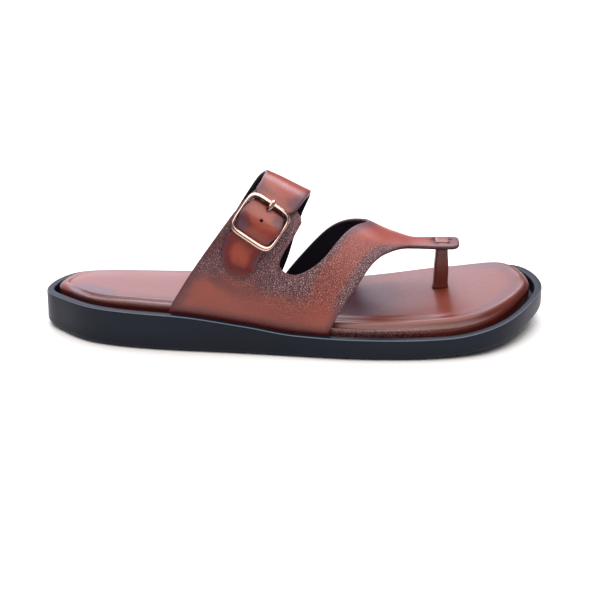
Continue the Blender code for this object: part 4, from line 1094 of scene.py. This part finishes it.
# %% Copper plate
def antique_copper():
    material, tree, where = new_finish("antique copper plate", {"Metallic": 1.0})
    polish_and_sheen = add_node(tree, "Attribute", {}, "Fac", attribute_name="polish_and_sheen")
    tarnish = add_node(tree, "TexNoise", {"Vector": where, "Scale": 220.0, "Detail": 1.0})
    level = add_node(tree, "Math", {0: tarnish, 1: 0.5}, operation="SUBTRACT")
    bare_and_lit = add_node(tree, "Math", {0: level, 1: 0.4, 2: polish_and_sheen}, operation="MULTIPLY_ADD")
    bare_and_lit = add_node(tree, "Clamp", {0: bare_and_lit})
    # The mix runs from dark tarnish to bare copper. Where the mesh sets it by facing, it is painted
    # reflection as well as polish.
    colour = add_node(tree, "Mix", {0: bare_and_lit, 6: linear("2A201E"), 7: linear("D2ADA0")}, 2,
                      data_type="RGBA")
    rough = add_node(tree, "Math", {0: bare_and_lit, 1: -0.10, 2: 0.28}, operation="MULTIPLY_ADD")
    return shade(material, {"Base Color": colour, "Roughness": rough})


COPPER = antique_copper()

# %% [markdown]
# ## Buckle
# The frame is one casting: two thick end bars with a bevelled roof, slim sides, and a bar across its
# middle under the strap. A bevelled curve would give one thickness all round, so the section is swept
# along a rounded rectangle and widened on the end bars. The prong is a bent rod, flattened where it lies
# on the end bar, and hooks the centre bar through the strap's hole.


# %% Buckle frame
CORNER_POWER = 2 / FRAME_SQUARENESS


def frame_path(steps):
    """The middle line of the frame, a superellipse stepped evenly, with its outward directions."""
    turns = np.linspace(0, 2 * math.pi, 1441)
    path = np.stack([(FRAME_ACROSS - SIDE_BAR) / 2 * squared_off(np.cos(turns), CORNER_POWER),
                     (FRAME_ALONG - END_BAR) / 2 * squared_off(np.sin(turns), CORNER_POWER)], axis=1)
    path = even_steps(path, steps + 1)[:-1]
    return path, -to_left(path, 2)


def make_frame(steps=180, sides=24):
    vertices, polish_and_sheen = [], []
    for (u, v), (out_u, out_v) in zip(*frame_path(steps)):
        end_share = abs(out_v) ** 1.5
        half_wide = (SIDE_BAR + (1.12 * END_BAR - SIDE_BAR) * end_share) / 2
        roof, polish_and_sheen_start = 2 / (2.2 - 0.70 * end_share), 0.45 - 0.95 * max(-out_v, 0)
        for turn in around(sides):
            side = half_wide * squared_off(math.cos(turn), roof)
            up = FRAME_THICK / 2 * squared_off(math.sin(turn), roof)
            vertices.append(to_world((u + out_u * side, v + out_v * side, FRAME_UP + up)))
            # Bare copper on faces turned up and dark on faces turned down the strap: polish and painted
            # reflection together.
            polish_and_sheen.append(smoothstep(polish_and_sheen_start, polish_and_sheen_start + 0.5, math.sin(turn) + out_v * math.cos(turn)))
    return add_piece("buckle_rim", vertices, ring_faces(steps, sides, closed=True), [COPPER],
                     fields={"polish_and_sheen": np.array(polish_and_sheen)}, node="buckle_frame", record_slot="buckle_metal")


def make_centre_bar(sides=12):
    half, radius = (FRAME_ACROSS - SIDE_BAR) / 2, CENTRE_BAR / 2
    vertices = [to_world((u, radius * math.cos(turn), height + radius * math.sin(turn)))
                for u, height in ((-half, FRAME_UP), (0.0013 - half, CENTRE_BAR_HEIGHT),
                                  (half - 0.0013, CENTRE_BAR_HEIGHT), (half, FRAME_UP))
                for turn in around(sides)]
    return add_piece("buckle_centre_bar", vertices, capped(4, sides), [COPPER],
                     fields={"polish_and_sheen": np.full(len(vertices), 0.4)}, record_slot="buckle_metal")


buckle_rim, buckle_centre_bar = make_frame(), make_centre_bar()


# %% Buckle prong
def prong_path():
    """The hook round the centre bar and the rise to the end bar, as places along and out."""
    top = FRAME_UP + FRAME_THICK / 2 + GAP / 2 + PRONG / 2
    start = CENTRE_BAR_HEIGHT + HOOK_RADIUS
    inner_edge, outer_edge = BAR_PLACE - END_BAR / 2, BAR_PLACE + END_BAR / 2
    hook = [(HOOK_RADIUS * math.cos(t), CENTRE_BAR_HEIGHT + HOOK_RADIUS * math.sin(t))
            for t in np.linspace(math.pi, math.pi / 2, 9)]
    knots = [hook[-1], (inner_edge * 0.55, start + (top - start) * 0.30),
             (inner_edge - 0.0010, top - 0.0003), (BAR_PLACE, top),
             (outer_edge + 0.0002, top), (outer_edge + 0.0010, top - PRONG / 2)]
    return np.vstack([hook, spline(knots, 40)[1:]]), inner_edge, outer_edge


def make_prong(sides=20):
    path, inner_edge, outer_edge = prong_path()
    tangent = np.gradient(path, axis=0)
    tangent /= np.linalg.norm(tangent, axis=1)[:, None]
    vertices, polish_and_sheen = [], []
    for (v, n), (tv, tn) in zip(path, tangent):
        swell = smoothstep(inner_edge * 0.75, inner_edge, v)
        tip = 1 - 0.55 * smoothstep(outer_edge, outer_edge + 0.0012, v)
        wide, thick = (PRONG + (PRONG_WIDTH - PRONG) * swell) / 2 * tip, PRONG / 2 * tip
        for turn in around(sides):
            side, up = wide * math.cos(turn), thick * math.sin(turn)
            vertices.append(to_world((side, v - tn * up, n + tv * up)))
            # The top of the prong is lighter as polish and as a painted highlight, more so where it is
            # flattened.
            polish_and_sheen.append(smoothstep(0.2, 0.8, math.sin(turn)) * (0.25 + 0.75 * swell))
    return add_piece("buckle_tongue", vertices, capped(len(path), sides), [COPPER],
                     fields={"polish_and_sheen": np.array(polish_and_sheen)}, node="buckle_prong", record_slot="buckle_metal")


buckle_tongue = make_prong()

# %% [markdown]
# ## Toe post
# A strip of leather is rolled and glued into a post, and its seam shows as a groove up the front. The
# post stands in the footbed, where it is gathered, and the end of the strip goes up through one slit of
# the tongue and down through the other. A cylinder would be too even, so the post is a stack of rounded
# squares that narrow and flare a little, with the seam's groove drifting round as it rises. The tab is
# draped over the tongue, which is why it curves.

# %% Post
# Rolling stretches the grain and the glue darkens it, so the post is browner and duller than the hide.
ROLLED_HIDE = burnished_hide("rolled leather", Dye(
    "6A2A22", "77342A", "4A1A17", "2E161C", "260C0B", "7A4A48"), 0.38, 0.00016, 0.15)
POST_SOCKET = 0.0057     # how far the post goes into the footbed


def rounded_square(steps=7, corner=0.45):
    """Plan points of a square of half width 1 with round corners."""
    reach = (1 - corner) * math.sqrt(2)
    return np.array([(reach * math.cos(math.pi / 4 + math.pi / 2 * quarter) + corner * math.cos(turn),
                      reach * math.sin(math.pi / 4 + math.pi / 2 * quarter) + corner * math.sin(turn))
                     for quarter in range(4)
                     for turn in math.pi / 2 * (quarter + np.linspace(0, 1, steps))])


def make_post():
    base, half = last_point(POST_STATION, 0.0), POST_WIDTH / 2
    girths = [girth_beside(POST_STATION, part * half) for part in (-1, -0.5, 0.5, 1)]
    under = float(last_point(POST_STATION, girths)[:, 2].min()) - GAP
    outline = rounded_square()
    turns = np.arctan2(outline[:, 1], outline[:, 0])
    ground = GAP + footbed_height(base[0] + outline[:, 0] * half, base[1] + outline[:, 1] * half)
    foot = float(footbed_height(base[0], base[1])) - POST_SOCKET
    rings = [np.column_stack([base[:2] + outline * half * 0.95, np.full(len(outline), foot)])]
    for t in np.concatenate([[0.0, 0.004, 0.012], np.linspace(0.025, 1, 34)]):
        flare = 1.02 + 0.12 * math.exp(-t / 0.05) - 0.17 * smoothstep(0.30, 1.0, t)
        flare *= 1 - 0.12 * math.exp(-t / 0.006)
        gather = 1 + 0.025 * math.exp(-t / 0.2) * np.sin(5 * turns + 1.0) + 0.03 * bell(t, 0.55, 0.2)
        seam = 1 - 0.07 * bell(turns, -1.85 + 0.3 * t, 0.10)
        lobe = 1 + 0.22 * math.exp(-t / 0.05) * bell(turns, -2.75, 0.45)
        spread = outline * (half * flare * gather * seam * lobe)[:, None]
        rings.append(np.column_stack([base[:2] + spread, ground + (under - ground) * t]))
    vertices = np.vstack(rings)
    rise = (vertices[:, 2] - ground.mean()) / (under - ground.mean())
    # Painted shade: darker at the foot where the post meets the footbed and in the seam's groove.
    groove = np.tile(bell(turns, -1.75, 0.12), len(rings))
    fields = {"burnish": 0.20 + 0.45 * smoothstep(0.80, 1.0, rise), "grain": np.full(len(vertices), 0.10),
              "deep": 0.55 * smoothstep(0.07, 0.0, rise) + 0.6 * groove}
    return add_piece("post_roll", vertices, capped(len(rings), len(outline)), [ROLLED_HIDE],
                     fields=fields, node="toe_post", record_slot="rolled_leather")


post_roll = make_post()

# %% Tab over the tongue
# The tab is skived thin and rubbed by hand, so it is paler and glossier than the post.
TAB_HIDE = burnished_hide("skived tab leather", Dye(
    "82463A", "8E5245", "5E2A24", "3E2428", "32110E", "A87870"), 0.34, 0.00016, 0.30)
TAB_RISE = 0.0005        # top of the tab above the tongue
TAB_BEND = 0.0011        # outer radius where the tab turns down


def tab_path():
    """The tab seen from the side, as places along the shoe and heights over the last."""
    outer_x, inner_x = (SLIT_SPACING + TAB_WALL) / 2, (SLIT_SPACING - TAB_WALL) / 2
    low, top, under = -GAP, UPPER_WALL + TAB_RISE, UPPER_WALL + 0.00004
    over = [(-outer_x, low)] + [(-outer_x + TAB_BEND * (1 - math.cos(t)), top - TAB_BEND * (1 - math.sin(t)))
                                for t in np.linspace(0, math.pi / 2, 7)]
    over += [(x, top) for x in np.linspace(-0.0015, 0.0, 3)]
    over += [(-x, height) for x, height in over[-2::-1]]
    return over + [(inner_x, low), (inner_x, under), (0.0, under), (-inner_x, under), (-inner_x, low)]


def make_tab():
    path, shares = tab_path(), np.sin(np.linspace(-math.pi / 2, math.pi / 2, 17))
    vertices = []
    for share in shares:
        girth = girth_beside(POST_STATION, share * POST_WIDTH / 2) if share else 0.0
        for x, height in path:
            soft = 0.0004 * abs(share) ** 10 if height > UPPER_WALL + 0.0001 else 0.0
            vertices.append(on_last(POST_STATION + x / LENGTH, girth, height - soft))
    edge = np.repeat(np.abs(shares) ** 6, len(path))
    # The tab's sides are burnished, and also painted darker as shade where they turn down.
    fields = {"burnish": 0.6 * edge, "grain": np.full(len(edge), 0.2), "deep": 0.5 * edge}
    return add_piece("post_tab", vertices, capped(len(shares), len(path)), [TAB_HIDE], fields=fields,
                     record_slot="rolled_leather")


post_tab = make_tab()

# %% [markdown]
# ## Floor
# The shoe stands on plain white paper. It stays a flat sheet, because nothing of it but the soft shadow
# shows, and its light comes back evenly whatever the angle.


# %% Paper floor
def make_floor(half=4.0):
    material, _, _ = new_finish("matt white paper", {
        "Roughness": 0.95, "Specular IOR Level": 0.05, "Base Color": linear("FAFAFA")})
    mesh = bpy.data.meshes.new("floor")
    mesh.from_pydata([(-half, -half, 0), (half, -half, 0), (half, half, 0), (-half, half, 0)], [],
                     [(0, 1, 2, 3)])
    mesh.materials.append(material)
    floor = bpy.data.objects.new("floor", mesh)
    bpy.context.scene.collection.objects.link(floor)
    return floor


floor = make_floor()
print("floor:", round(floor.dimensions.x, 1), "m wide")

# %% [markdown]
# ## Light
# The sheen on the heel, the strap and the ridge is the reflection of two white sheets behind the shoe, seen
# at a flat angle, where even leather reflects a lot: the low one lights the footbed, the high one the ridge
# and the strap. A third sheet hangs overhead, and a weak one beside the camera lifts the shadow. One bright
# lamp would give hard spots instead.

# %% Softboxes
Softbox = namedtuple("Softbox", "name place aim size power colour")
SOFTBOXES = [
    Softbox("rear sheet", (-0.85, 1.50, 0.64), (-0.1, 0.0, 0.03), (2.2, 1.1), 13.0, "F6F1FF"),
    Softbox("high rear sheet", (0.10, 1.15, 1.10), (0.0, 0.0, 0.06), (1.9, 0.55), 20.0, "F3EFFF"),
    Softbox("overhead sheet", (0.05, -0.15, 1.25), (0.05, -0.05, 0.0), (1.8, 1.8), 31.0, "FFFAF6"),
    Softbox("front fill", (-0.30, -1.10, 1.10), (0.0, 0.0, 0.03), (2.4, 1.5), 2.0, "F8F9FF"),
]


def add_softbox(box):
    data = bpy.data.lights.new(box.name, "AREA")
    data.shape = "RECTANGLE"
    data.size, data.size_y = box.size
    data.energy = box.power
    data.color = linear(box.colour)[:3]
    light = bpy.data.objects.new(box.name, data)
    light.location = box.place
    light.rotation_euler = (Vector(box.aim) - Vector(box.place)).to_track_quat("-Z", "Y").to_euler()
    bpy.context.scene.collection.objects.link(light)


for box in SOFTBOXES:
    add_softbox(box)
world = bpy.data.worlds.new("white tent")
world.use_nodes = True
world.node_tree.nodes["Background"].inputs["Color"].default_value = linear("F2F5FB")
world.node_tree.nodes["Background"].inputs["Strength"].default_value = 0.17
bpy.context.scene.world = world
bpy.context.scene.view_settings.view_transform = "Standard"
print("softboxes:", len(SOFTBOXES))

# %% [markdown]
# ## Camera
# The photograph was taken with a long lens from a little above the shoe's outer side. The place, the tilt
# and the lens come from fitting the sole's outline, and the shift frames the shoe without turning it.

# %% Camera
CAMERA_PLACE = (-0.0050, -0.9919, 0.4671)
CAMERA_TILT = 25.17      # degrees below the horizon
CAMERA_TURN = -0.29      # degrees from +Y
FOCAL = 112.4            # mm on a 36 mm sensor
FRAMING = (0.0086, 0.0367)

camera_data = bpy.data.cameras.new("camera")
camera_data.lens = FOCAL
camera_data.sensor_width = 36.0
camera_data.shift_x, camera_data.shift_y = FRAMING
camera = bpy.data.objects.new("camera", camera_data)
camera.location = CAMERA_PLACE
camera.rotation_euler = (math.radians(90 - CAMERA_TILT), 0.0, math.radians(CAMERA_TURN))
bpy.context.scene.collection.objects.link(camera)
bpy.context.scene.camera = camera
print("camera at", CAMERA_PLACE)
